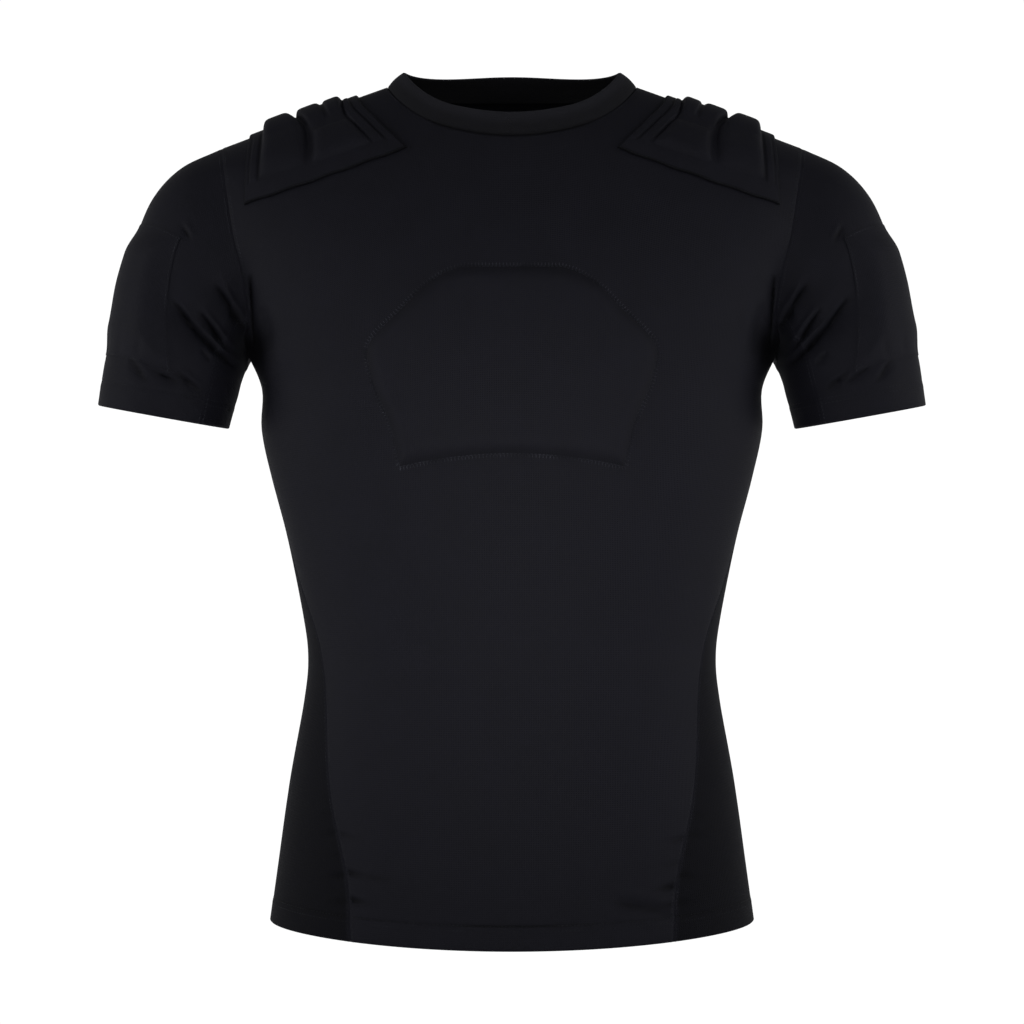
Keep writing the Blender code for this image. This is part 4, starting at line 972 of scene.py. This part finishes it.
PAD_STRIPS, PAD_STRIP_END, PAD_STRIP_FADE = ((0.04, 0.96), (5.05, 5.95)), 0.80, 0.03
PAD_STRIP_GROOVE, PAD_STRIP_GROOVE_WIDTH, PAD_STRIP_DARK, PAD_STRIP_DARK_WIDTH = 0.0012, 0.07, 0.6, 0.09
PAD_STRIP_THINNED, PAD_STRIP_THIN_REACH = 0.7, 0.2
PAD_BED_NECK, PAD_BED_ARM, PAD_BED_ENDS = (1.0, 0.15), (5.0, 0.05), (0.79, 0.04)
PAD_PULL, PAD_PULL_LENGTH, PAD_PULL_POWER = 0.011, 0.029, 8
PAD_STEPS, PAD_ROWS = (9, 11, 18, 22, 34, 9, 4), 136
BLOCK_STEEP_ACROSS, BLOCK_STEEP_ALONG, BLOCK_POWER = 6.0, 5.0, 0.8
BLOCK_COLUMNS = ("low", "high", "near", "far", "height")
PAD_BLOCKS = {
    "neck_front": (1.05, 1.95, -0.77, -0.03, 0.56),
    "neck_back": (1.05, 1.95, 0.00, 0.77, 0.54),
    "middle_bed": (2.05, 3.92, -0.77, 0.77, 0.66),
    "middle_front": (2.05, 3.90, -0.77, -0.36, 0.96),
    "middle_back": (2.05, 3.92, 0.37, 0.77, 0.94),
    "ridge_inner": (2.05, 2.98, -0.35, 0.35, 0.92),
    "ridge_outer": (3.02, 3.94, -0.35, 0.36, 1.02),
    "arm_front": (4.06, 4.98, -0.77, 0.12, 1.00),
    "arm_ridge": (4.06, 4.98, -0.40, 0.40, 1.18),
    "arm_back": (4.06, 4.98, 0.14, 0.77, 0.97),
}


def shoulder_pad_x(across, along):
    """x of places across the pad, counted in the lines that run over the shoulder."""
    neck = smooth(PAD_NECK_X, np.abs(along) * (len(PAD_NECK_X) - 1))
    at_ridge = np.exp(-(along / PAD_RIDGE_SPREAD) ** 2)
    neck_groove = neck + PAD_NECK_GROOVE + PAD_RIDGE_SHIFT["neck_groove"] * at_ridge
    groove = PAD_GROOVE_X + PAD_RIDGE_SHIFT["groove"] * at_ridge
    cut = neck_groove + (groove - neck_groove) * PAD_CUT_SHARE
    lines = [neck, neck + PAD_NECK_STRIP, neck_groove, cut, groove]
    lines = np.stack(lines + [np.full_like(neck, x) for x in (*PAD_ARM_STRIP_X, PAD_ARM_X)])
    i = np.minimum(across.astype(int), len(lines) - 2)
    row = np.arange(len(along))[:, None]
    return lines[i, row] + (lines[i + 1, row] - lines[i, row]) * (across - i)


def dome(share, low, high, steep):
    """Rounded rise between low and high, steepest at its ends."""
    middle = np.clip((2.0 * share - low - high) / (high - low), -1.0, 1.0)
    return 1.0 - np.abs(middle) ** steep


def shoulder_pad_lift(across, along):
    """Flange, edge strips and rounded foam blocks with sewn grooves between them."""
    lift = np.full(np.broadcast_shapes(across.shape, along.shape), PAD_FLANGE)
    full = 1.0 - PAD_STRIP_THINNED * np.exp(-(along / PAD_STRIP_THIN_REACH) ** 2)
    end = soft_step((PAD_STRIP_END - np.abs(along)) / PAD_STRIP_FADE)
    for strip in PAD_STRIPS:
        rise = dome(across, *strip, BLOCK_STEEP_ACROSS) * end
        lift = np.maximum(lift, PAD_FLANGE + (PAD_STRIP - PAD_FLANGE) * full * rise)
        for line in strip:
            lift = lift - PAD_STRIP_GROOVE * np.exp(-((across - line) / PAD_STRIP_GROOVE_WIDTH) ** 2) * end
    bed = soft_step((across - PAD_BED_NECK[0]) / PAD_BED_NECK[1])
    bed = bed * soft_step((PAD_BED_ARM[0] - across) / PAD_BED_ARM[1])
    bed = bed * soft_step((PAD_BED_ENDS[0] - np.abs(along)) / PAD_BED_ENDS[1])
    lift = np.maximum(lift, PAD_FLANGE + (PAD_GROOVE - PAD_FLANGE) * bed)
    for row in PAD_BLOCKS.values():
        block = dict(zip(BLOCK_COLUMNS, row))
        rise = dome(across, block["low"], block["high"], BLOCK_STEEP_ACROSS)
        rise = (rise * dome(along, block["near"], block["far"], BLOCK_STEEP_ALONG)) ** BLOCK_POWER
        lift = np.maximum(lift, PAD_GROOVE + (PAD_BLOCK * block["height"] - PAD_GROOVE) * rise * bed)
    return lift


def edge_inset(points):
    """Distance of a grid's points from the nearest of its four edges."""
    return np.min([edge_distance(points, edge) for edge in ("left", "right", "top", "bottom")], axis=0)


along = np.linspace(-1.0, 1.0, PAD_ROWS + 1)[:, None]
across = np.concatenate([i + np.arange(count) / count for i, count in enumerate(PAD_STEPS)]
                        + [[float(len(PAD_STEPS))]])[None, :]
pad_x = shoulder_pad_x(across, along[:, 0])
outward = (pad_x - PAD_NECK_X[-1]) / (PAD_ARM_X - PAD_NECK_X[-1])
reach = [edge["neck"] + (edge["arm"] - edge["neck"]) * outward for edge in (PAD_FRONT_EDGE, PAD_BACK_EDGE)]
pulled = PAD_PULL * np.sin(TURN * pad_x / PAD_PULL_LENGTH) * along ** PAD_PULL_POWER
pad_place = RIDGE + along * (np.where(along < 0.0, *reach) + pulled)
for name, side in SIDES.items():
    base = body_at_x(pad_place, pad_x) * np.array((side, 1.0, 1.0))
    normals = grid_normals(base, side < 0.0)
    inside = edge_inset(base)
    roll = np.sqrt(1.0 - (1.0 - np.minimum(inside / PAD_EDGE_ROLL, 1.0)) ** 2)
    lift = PAD_EDGE + (shoulder_pad_lift(across, along) - PAD_EDGE) * roll
    # Painted shade: dark lines along the pad's edges and along the grooves beside its strips.
    dark = np.exp(-(inside / PAD_EDGE_ROLL) ** PAD_EDGE_DARK_POWER)
    for line in np.ravel(PAD_STRIPS):
        groove = PAD_STRIP_DARK * np.exp(-((across - line) / PAD_STRIP_DARK_WIDTH) ** 2)
        dark = np.maximum(dark, groove * (np.abs(along) < PAD_STRIP_END))
    base = base + normals * (SHOULDER_PAD_CLEARANCE + slack_lift(base, SLACK))[..., None]
    lay_pad(f"shoulder_pad_{name}", base, normals, lift, -dark)

# Biceps pads: a thin shaped foam sheet under a stretch cover on the outside of each upper arm, sewn
# to the sleeve all round. The cover is eased in along its lower edge, so it puckers there.
BICEPS_TOP_OUTER, BICEPS_TOP_SIDE, BICEPS_BOTTOM_OUTER, BICEPS_BOTTOM_SIDE = 2.75, 1.75, 5.85, 5.45
BICEPS_ANGLE_TOP, BICEPS_ANGLE_BOTTOM = math.radians(67.0), math.radians(93.0)
BICEPS_CLEARANCE, BICEPS_EDGE, BICEPS_CROWN, BICEPS_SHOULDER = 0.0002, 0.0003, 0.0042, 0.024
BICEPS_COLUMNS, BICEPS_ROWS, BICEPS_EDGE_SHADE = 80, 56, 0.06
BICEPS_PUCKERS = ((-0.86, 0.030, 0.0012), (-0.58, 0.042, 0.0016), (-0.31, 0.027, 0.0009),
                  (-0.05, 0.036, 0.0013), (0.22, 0.030, 0.0010), (0.47, 0.045, 0.0017),
                  (0.70, 0.033, 0.0015), (0.90, 0.036, 0.0012))
BICEPS_PUCKER_LEAN, BICEPS_PUCKER_REACH, BICEPS_PUCKER_POWER, BICEPS_LEAST = 0.25, 0.14, 0.3, 0.00015

along = np.linspace(0.0, 1.0, BICEPS_ROWS + 1)[:, None]
across = np.linspace(-1.0, 1.0, BICEPS_COLUMNS + 1)[None, :]
angle = across * (BICEPS_ANGLE_TOP + (BICEPS_ANGLE_BOTTOM - BICEPS_ANGLE_TOP) * along)
top = BICEPS_TOP_OUTER + (BICEPS_TOP_SIDE - BICEPS_TOP_OUTER) * across ** 2
bottom = BICEPS_BOTTOM_OUTER + (BICEPS_BOTTOM_SIDE - BICEPS_BOTTOM_OUTER) * across ** 2
pad_place = top + (bottom - top) * along
for name, side in SIDES.items():
    base = sleeve_surface(pad_place, angle) * np.array((side, 1.0, 1.0))
    normals = grid_normals(base, side < 0.0)
    inside = edge_inset(base)
    swell = soft_step(inside / BICEPS_SHOULDER)
    lift = BICEPS_EDGE + (BICEPS_CROWN - BICEPS_EDGE) * swell
    eased = np.exp(-((1.0 - along) / BICEPS_PUCKER_REACH) ** 2) * swell ** BICEPS_PUCKER_POWER
    for place, width, depth in BICEPS_PUCKERS:
        lift -= depth * np.exp(-((across - place - BICEPS_PUCKER_LEAN * (1.0 - along)) / width) ** 2) * eased
    slack, dark = sleeve_slack(base, normals, name)
    # Painted shade: a faint dark line along the pad's edge, and the shade of the sleeve's folds.
    near = shaded(-BICEPS_EDGE_SHADE * np.exp(-(inside / SEAM_ROLL_WIDTH) ** 2), dark)
    base = base + normals * (BICEPS_CLEARANCE + slack)[..., None]
    lay_pad(f"biceps_pad_{name}", base, normals, np.maximum(lift, BICEPS_LEAST), near)

# Stitching: polyester thread, black or a shade lighter. Twin needles sew the hems and cuffs, and flatlock
# rows run on both sides of the seams, with loopers flat inside those of the sides and gussets. A cover
# stitch holds the collar, and the pads are sewn along their edges, the chest pad with overlock bars.
STITCH_SPACING, STITCH_LENGTH, STITCH_WIDTH, STITCH_HEIGHT = 0.0030, 0.0024, 0.00055, 0.0003
STITCH_SWAY, STITCH_SEED, STITCH_HIDDEN, BEAD_SIDES, BEAD_RINGS = 0.09, 7, 0.3, 6, 3
OVERLOCK_EDGE, BAR_SPACING, BAR_LENGTH, BAR_GAP, BAR_HEIGHT = 0.0004, 0.0026, 0.0030, 0.0006, 0.0004
OVERLOCK_SIDE_X, OVERLOCK_SIDE_Z, STEP_X, STEP_ROW = 0.0838, -0.190, 0.001, 0.01
TWIN_NEEDLE, SEAM_ROW, PAD_ROW, COLLAR_ROW = 0.0040, 0.0019, 0.0016, 0.0028
ARMHOLE_LOW, ARMHOLE_ROW = -0.16, 0.00304
LOOPER_REACH, LOOPER_DEPTH, LOOPER_THICKNESS = 0.0020, 0.0021, 0.0003
# The twist of the thread is about 0.45 mm long and its lighter patches 22 mm, counted to a metre.
THREAD_TWIST, THREAD_TWIST_DETAIL, THREAD_BUMP, THREAD_RELIEF = 2200.0, 2.0, 0.5, 0.0001
THREAD_PATCHES, THREAD_PATCH_DETAIL, THREAD_PATCH_RANGE = 45.0, 1.0, 0.2
THREAD_ROUGHNESS, THREAD_SPECULAR = 0.6, 0.06


def thread_material(name, sunken, proud, hidden):
    """Twisted polyester thread, lighter than the cloth in patches where it hasn't sunk into the knit."""
    material = bpy.data.materials.new(name)
    tree = empty_tree(material)
    coords = add_node(tree, "ShaderNodeTexCoord")
    twist = add_node(tree, "ShaderNodeTexNoise", Vector=coords.outputs["Object"], Scale=THREAD_TWIST,
                     Detail=THREAD_TWIST_DETAIL)
    patches = add_node(tree, "ShaderNodeTexNoise", Vector=coords.outputs["Object"], Scale=THREAD_PATCHES,
                       Detail=THREAD_PATCH_DETAIL)
    sink_and_painted_shade = add_node(tree, "ShaderNodeMapRange", Value=patches, From_Min=hidden,
                    From_Max=hidden + THREAD_PATCH_RANGE)
    colour = add_node(tree, "ShaderNodeMix", {"data_type": "RGBA"}, i0=sink_and_painted_shade, i6=hex_colour(sunken),
                      i7=hex_colour(proud))
    bump = add_node(tree, "ShaderNodeBump", Strength=THREAD_BUMP, Distance=THREAD_RELIEF, Height=twist)
    shader = add_node(tree, "ShaderNodeBsdfPrincipled", Base_Color=colour.outputs[2], Normal=bump,
                      Roughness=THREAD_ROUGHNESS, Specular_IOR_Level=THREAD_SPECULAR)
    add_node(tree, "ShaderNodeOutputMaterial", Surface=shader)
    return material


def stitch_tree():
    """Geometry Nodes tree: slim thread beads along lines, lying on the cloth the lines run over."""
    tree = bpy.data.node_groups.new("thread_stitches", "GeometryNodeTree")
    tree.interface.new_socket("Lines", in_out="INPUT", socket_type="NodeSocketGeometry")
    for label in ("Spacing", "Length", "Width", "Height", "Turn"):
        tree.interface.new_socket(label, in_out="INPUT", socket_type="NodeSocketFloat")
    tree.interface.new_socket("Thread", in_out="INPUT", socket_type="NodeSocketMaterial")
    tree.interface.new_socket("Stitches", in_out="OUTPUT", socket_type="NodeSocketGeometry")
    given = add_node(tree, "NodeGroupInput").outputs
    curve = add_node(tree, "GeometryNodeMeshToCurve", Mesh=given["Lines"])
    even = add_node(tree, "GeometryNodeResampleCurve", {"mode": "LENGTH"}, Curve=curve,
                    Length=given["Spacing"])
    spots = add_node(tree, "GeometryNodeCurveToPoints", {"mode": "EVALUATED"}, Curve=even)
    face = add_node(tree, "GeometryNodeInputNamedAttribute", {"data_type": "FLOAT_VECTOR"}, Name="face")
    upright = add_node(tree, "FunctionNodeAlignRotationToVector", {"axis": "Z"}, Vector=face)
    laid = add_node(tree, "FunctionNodeAlignRotationToVector", {"axis": "X", "pivot_axis": "Z"},
                    Rotation=upright, Vector=spots.outputs["Tangent"])
    sway = add_node(tree, "FunctionNodeRandomValue", {"data_type": "FLOAT"}, i2=-STITCH_SWAY, i3=STITCH_SWAY,
                    Seed=STITCH_SEED)
    angle = add_node(tree, "ShaderNodeMath", {"operation": "ADD"}, i0=given["Turn"], i1=sway.outputs[1])
    about = add_node(tree, "ShaderNodeCombineXYZ", Z=angle)
    turn = add_node(tree, "FunctionNodeEulerToRotation", Euler=about)
    turned = add_node(tree, "FunctionNodeRotateRotation", {"rotation_space": "LOCAL"}, Rotation=laid,
                      Rotate_By=turn)
    bead = add_node(tree, "GeometryNodeMeshUVSphere", Segments=BEAD_SIDES, Rings=BEAD_RINGS, Radius=0.5)
    size = add_node(tree, "ShaderNodeCombineXYZ", X=given["Length"], Y=given["Width"], Z=given["Height"])
    placed = add_node(tree, "GeometryNodeInstanceOnPoints", Points=spots.outputs["Points"],
                      Instance=bead.outputs["Mesh"], Rotation=turned, Scale=size)
    real = add_node(tree, "GeometryNodeRealizeInstances", Geometry=placed)
    dyed = add_node(tree, "GeometryNodeSetMaterial", Geometry=real, Material=given["Thread"])
    add_node(tree, "NodeGroupOutput", i0=dyed)
    return tree


def seam_line(node, edge, away, part=slice(None)):
    """Line on a finished panel at a distance from one of its edges, with the panel's normals."""
    places, distance = np.concatenate(skins[node], axis=-1), edge_distance(skins[node][0], edge)
    if edge in ("bottom", "top"):
        places, distance = places.swapaxes(0, 1), distance.T
    if edge in ("right", "top"):
        places, distance = places[:, ::-1], distance[:, ::-1]
    return np.array([[np.interp(away, run, values) for values in row.T]
                     for row, run in zip(places[part], distance[part])])


def sew(name, lines, thread, spacing=STITCH_SPACING, length=STITCH_LENGTH, turn=0.0):
    """Stitches along lines of places and normals, made into one plain mesh; none where folds hide them."""
    places = np.concatenate(lines)
    open_cloth = underarm_folds(places[:, :3])[1] < STITCH_HIDDEN
    starts = np.cumsum([0] + [len(line) for line in lines])
    edges = [(k, k + 1) for a, b in zip(starts, starts[1:]) for k in range(a, b - 1)
             if open_cloth[k] and open_cloth[k + 1]]
    mesh = bpy.data.meshes.new(f"{name}_lines")
    mesh.from_pydata(places[:, :3].tolist(), edges, [])
    mesh.attributes.new("face", "FLOAT_VECTOR", "POINT").data.foreach_set("vector", places[:, 3:].ravel())
    guide = add_object(f"{name}_lines", mesh)
    modifier = guide.modifiers.new("stitches", "NODES")
    modifier.node_group = stitches
    values = {"Spacing": spacing, "Length": length, "Width": STITCH_WIDTH, "Height": STITCH_HEIGHT,
              "Turn": turn, "Thread": thread}
    for socket in stitches.interface.items_tree:
        if socket.name in values:
            modifier[socket.identifier] = values[socket.name]
    sewn = bpy.data.meshes.new_from_object(guide.evaluated_get(bpy.context.evaluated_depsgraph_get()))
    guide.modifiers.remove(modifier)
    bpy.data.objects.remove(guide)
    sewn.name = name
    sewn.materials.clear()
    sewn.shade_smooth()
    return add_piece(name, sewn, thread, "body_knit")


# To the eye: black rows a little lighter than the cloth, mostly sunk into it.
sewing_thread = thread_material("polyester_sewing_thread", "0D0E11", "1B1C20", 0.50)
# To the eye: soft dark grey rows that show in patches.
cover_thread = thread_material("textured_polyester_cover_thread", "101115", "27282D", 0.47)
# To the eye: a dark grey line that shows nearly all round the chest pad.
overlock_thread = thread_material("textured_polyester_overlock_thread", "131418", "2A2B31", 0.34)
stitches = stitch_tree()
BODY_PANELS = ("front", "back", *(f"side_{name}" for name in SIDES))

hem_rows = (HEM_WIDTH, HEM_WIDTH - TWIN_NEEDLE)
hem_lines = [seam_line(node, "bottom", away) for away in hem_rows for node in BODY_PANELS]
for name in SIDES:
    hem_lines += [seam_line(f"{kind}_{name}", "top", away) for away in hem_rows
                  for kind in ("sleeve", "gusset")]
sew("hem_stitches", hem_lines, sewing_thread)

sew("flatlock_seam_stitches",
    [seam_line(node, edge, SEAM_ROW) for edge in ("left", "right") for node in BODY_PANELS], sewing_thread)
sleeve_lines = [seam_line(f"sleeve_{name}", "bottom", SEAM_ROW) for name in SIDES]
for edge in ("left", "right"):
    sleeve_lines += [seam_line(f"{kind}_{name}", edge, SEAM_ROW) for kind in ("sleeve", "gusset")
                     for name in SIDES]
    for node in ("front", "back"):
        armhole_start = np.argmax(skins[node][0][:, 0, 2] > ARMHOLE_LOW)
        sleeve_lines.append(seam_line(node, edge, ARMHOLE_ROW, slice(armhole_start, None)))
sew("sleeve_seam_stitches", sleeve_lines, cover_thread)


def edge_strip(node, edge):
    """Inside of a panel along one of its upright edges and a little way in from it, with its normals."""
    skin, normals = skins[node]
    here, ahead = (0, 1) if edge == "left" else (-1, -2)
    rim = skin[:, here] - normals[:, here] * LOOPER_DEPTH
    return rim, rim + LOOPER_REACH * unit(skin[:, ahead] - skin[:, here]), normals[:, here]


def lay_loopers(name, strip, other):
    """Band of looper threads flat on the inside of the seam between two panels, which it closes."""
    match = np.argmin(np.linalg.norm(strip[0][:, None] - other[0], axis=-1), axis=1)
    rim, far, facing = (values[match] for values in other)
    points = np.stack([strip[1], 0.5 * (strip[0] + rim), far], axis=1)
    normals = np.stack([strip[2], 0.5 * (strip[2] + facing), facing], axis=1)
    flat = np.zeros(points.shape[:2])
    mesh, _ = wall_mesh(name, points, normals, flat, flat, LOOPER_THICKNESS)
    add_piece(name, mesh, sewing_thread, "body_knit")


for name in SIDES:
    for node, edge in (("front", "left"), ("back", "right")):
        lay_loopers(f"{node}_seam_loopers_{name}", edge_strip(f"side_{name}", edge), edge_strip(node, name))
    for edge, other in (("left", "right"), ("right", "left")):
        lay_loopers(f"gusset_seam_loopers_{name}_{edge}", edge_strip(f"gusset_{name}", edge),
                    edge_strip(f"sleeve_{name}", other))

neck_part = slice(centre - NECK_COLUMNS, centre + NECK_COLUMNS + 1)
sew("collar_stitches", [seam_line(node, "top", COLLAR_ROW, neck_part) for node in ("front", "back")],
    sewing_thread)

outline = grid_outline(pad_base)[:, (0, 2)]
outline = np.concatenate([outline, outline[:1]])
step = np.gradient(outline, axis=0)
step[0] = step[-1] = 0.5 * (outline[1] - outline[-2])
outward = unit(np.stack([step[:, 1], -step[:, 0]], axis=-1))
edge_lines = {}
for kind, away in (("edge", OVERLOCK_EDGE), ("bars", 0.5 * BAR_LENGTH + BAR_GAP)):
    x, z = (outline + outward * away).T
    t = front_place(x, z)
    place = body_at_x(t, x)
    normal = unit(np.cross(body_at_x(t, x + STEP_X) - place, body_at_x(t + STEP_ROW, x) - place))
    edge_lines[kind] = np.concatenate([place + normal * BAR_HEIGHT, normal], axis=-1)
on_side = (np.abs(outline[:, 0]) > OVERLOCK_SIDE_X) & (outline[:, 1] < OVERLOCK_SIDE_Z)
shares = np.split(np.arange(len(outline)), np.flatnonzero(np.diff(on_side.astype(int))) + 1)
for kind, thread, sides in (("overlock", overlock_thread, False), ("side_overlock", cover_thread, True)):
    parts = [share for share in shares if on_side[share[0]] == sides]
    sew(f"chest_pad_{kind}_edge", [edge_lines["edge"][share] for share in parts], thread)
    sew(f"chest_pad_{kind}", [edge_lines["bars"][share] for share in parts], thread, BAR_SPACING, BAR_LENGTH,
        0.5 * math.pi)

sew("shoulder_pad_stitches", [seam_line(f"shoulder_pad_{name}", edge, PAD_ROW) for name in SIDES
                              for edge in ("bottom", "top", "left", "right")], sewing_thread)
for label, edges, thread in (("lower", ("top",), sewing_thread),
                             ("upper", ("bottom", "left", "right"), cover_thread)):
    pad_lines = [seam_line(f"biceps_pad_{name}", edge, PAD_ROW) for edge in edges for name in SIDES]
    sew(f"biceps_pad_{label}_stitches", pad_lines, thread)

# Studio: a wide pale floor below the garment, which is held up in the air as if worn, in even soft
# light: a small panel in front, large ones on both sides of the camera, one above and two beside
# the sleeves, in a white room that grows dim overhead.
FLOOR_LEVEL, FLOOR_RADIUS, FLOOR_SIDES = -1.15, 1.6, 96
PAPER_FIBRE, PAPER_FIBRE_DETAIL, PAPER_ROUGHNESS, PAPER_SPECULAR = 900.0, 2.0, 0.9, 0.1
FILL, ROOM_DIMS_FROM, ROOM_DIMS_TO, ROOM_BRIGHT, ROOM_DIM = 0.66, 0.12, 0.9, 1.05, 0.1
SOFTBOX_COLUMNS = ("x", "y", "z", "width", "height", "watts", "spread")
SOFTBOXES = {
    "front_middle": (0.0, -0.95, -0.45, 0.6, 0.3, 1.05, 58.0),
    "front_left": (-1.6, -1.9, 0.2, 1.4, 1.8, 3.0, 180.0),
    "front_right": (1.6, -1.9, 0.2, 1.4, 1.8, 3.0, 180.0),
    "above": (0.0, -0.5, 1.1, 1.2, 0.6, 3.0, 180.0),
    "beside_left": (-1.9, -0.25, 0.0, 0.6, 1.8, 22.5, 180.0),
    "beside_right": (1.9, -0.25, 0.0, 0.6, 1.8, 22.5, 180.0),
}
AIM = (0.0, 0.0, -0.32)

# To the eye: plain white with no shine. Its fibre is drawn at about 1 mm, coarser than it is.
paper = bpy.data.materials.new("matt_white_paper")
tree = empty_tree(paper)
coords = add_node(tree, "ShaderNodeTexCoord")
fibre = add_node(tree, "ShaderNodeTexNoise", Vector=coords.outputs["Object"], Scale=PAPER_FIBRE,
                 Detail=PAPER_FIBRE_DETAIL)
colour = add_node(tree, "ShaderNodeMix", {"data_type": "RGBA"}, i0=fibre,
                  i6=hex_colour("F6F6F6"), i7=hex_colour("FAFAFA"))
shader = add_node(tree, "ShaderNodeBsdfPrincipled", Base_Color=colour.outputs[2], Roughness=PAPER_ROUGHNESS,
                  Specular_IOR_Level=PAPER_SPECULAR)
add_node(tree, "ShaderNodeOutputMaterial", Surface=shader)
turns = [TURN * k / FLOOR_SIDES for k in range(FLOOR_SIDES)]
mesh = bpy.data.meshes.new("studio_floor")
mesh.from_pydata([(FLOOR_RADIUS * math.cos(a), FLOOR_RADIUS * math.sin(a), FLOOR_LEVEL) for a in turns], [],
                 [tuple(range(FLOOR_SIDES))])
mesh.materials.append(paper)
add_object("studio_floor", mesh)

for name, row in SOFTBOXES.items():
    box = dict(zip(SOFTBOX_COLUMNS, row))
    lamp = bpy.data.lights.new(f"softbox_{name}", "AREA")
    lamp.shape, lamp.size, lamp.size_y, lamp.energy = "RECTANGLE", box["width"], box["height"], box["watts"]
    lamp.spread = math.radians(box["spread"])
    light = add_object(f"softbox_{name}", lamp)
    light.location = (box["x"], box["y"], box["z"])
    light.rotation_euler = (Vector(AIM) - light.location).to_track_quat("-Z", "Y").to_euler()

world = bpy.data.worlds.new("white_studio")
tree = empty_tree(world)
way = add_node(tree, "ShaderNodeTexCoord")
upward = add_node(tree, "ShaderNodeSeparateXYZ", Vector=way.outputs["Generated"])
glow = add_node(tree, "ShaderNodeMapRange", Value=upward.outputs["Z"], From_Min=ROOM_DIMS_FROM,
                From_Max=ROOM_DIMS_TO, To_Min=ROOM_BRIGHT, To_Max=ROOM_DIM)
seen = add_node(tree, "ShaderNodeLightPath")
backdrop = add_node(tree, "ShaderNodeMapRange", Value=seen.outputs["Is Camera Ray"], To_Min=FILL, To_Max=1.0)
strength = add_node(tree, "ShaderNodeMath", {"operation": "MULTIPLY"}, i0=glow, i1=backdrop)
sky = add_node(tree, "ShaderNodeBackground", Color=hex_colour("FFFFFF"), Strength=strength)
add_node(tree, "ShaderNodeOutputWorld", Surface=sky)
bpy.context.scene.world = world
bpy.context.scene.view_settings.view_transform = "Standard"

# Camera: level with the middle of the garment and straight in front of it, as far off as a studio
# camera stands, with the frame as wide as the photograph's.
CAMERA_DISTANCE, CAMERA_HEIGHT, FRAME_PIXELS, PIXEL_WIDTH = 2.6, -0.312, 1024, 0.00078
lens = bpy.data.cameras.new("studio_camera")
lens.angle = 2.0 * math.atan(0.5 * FRAME_PIXELS * PIXEL_WIDTH / CAMERA_DISTANCE)
camera = add_object("studio_camera", lens)
camera.location = (0.0, -CAMERA_DISTANCE, CAMERA_HEIGHT)
camera.rotation_euler = (0.5 * math.pi, 0.0, 0.0)
bpy.context.scene.camera = camera
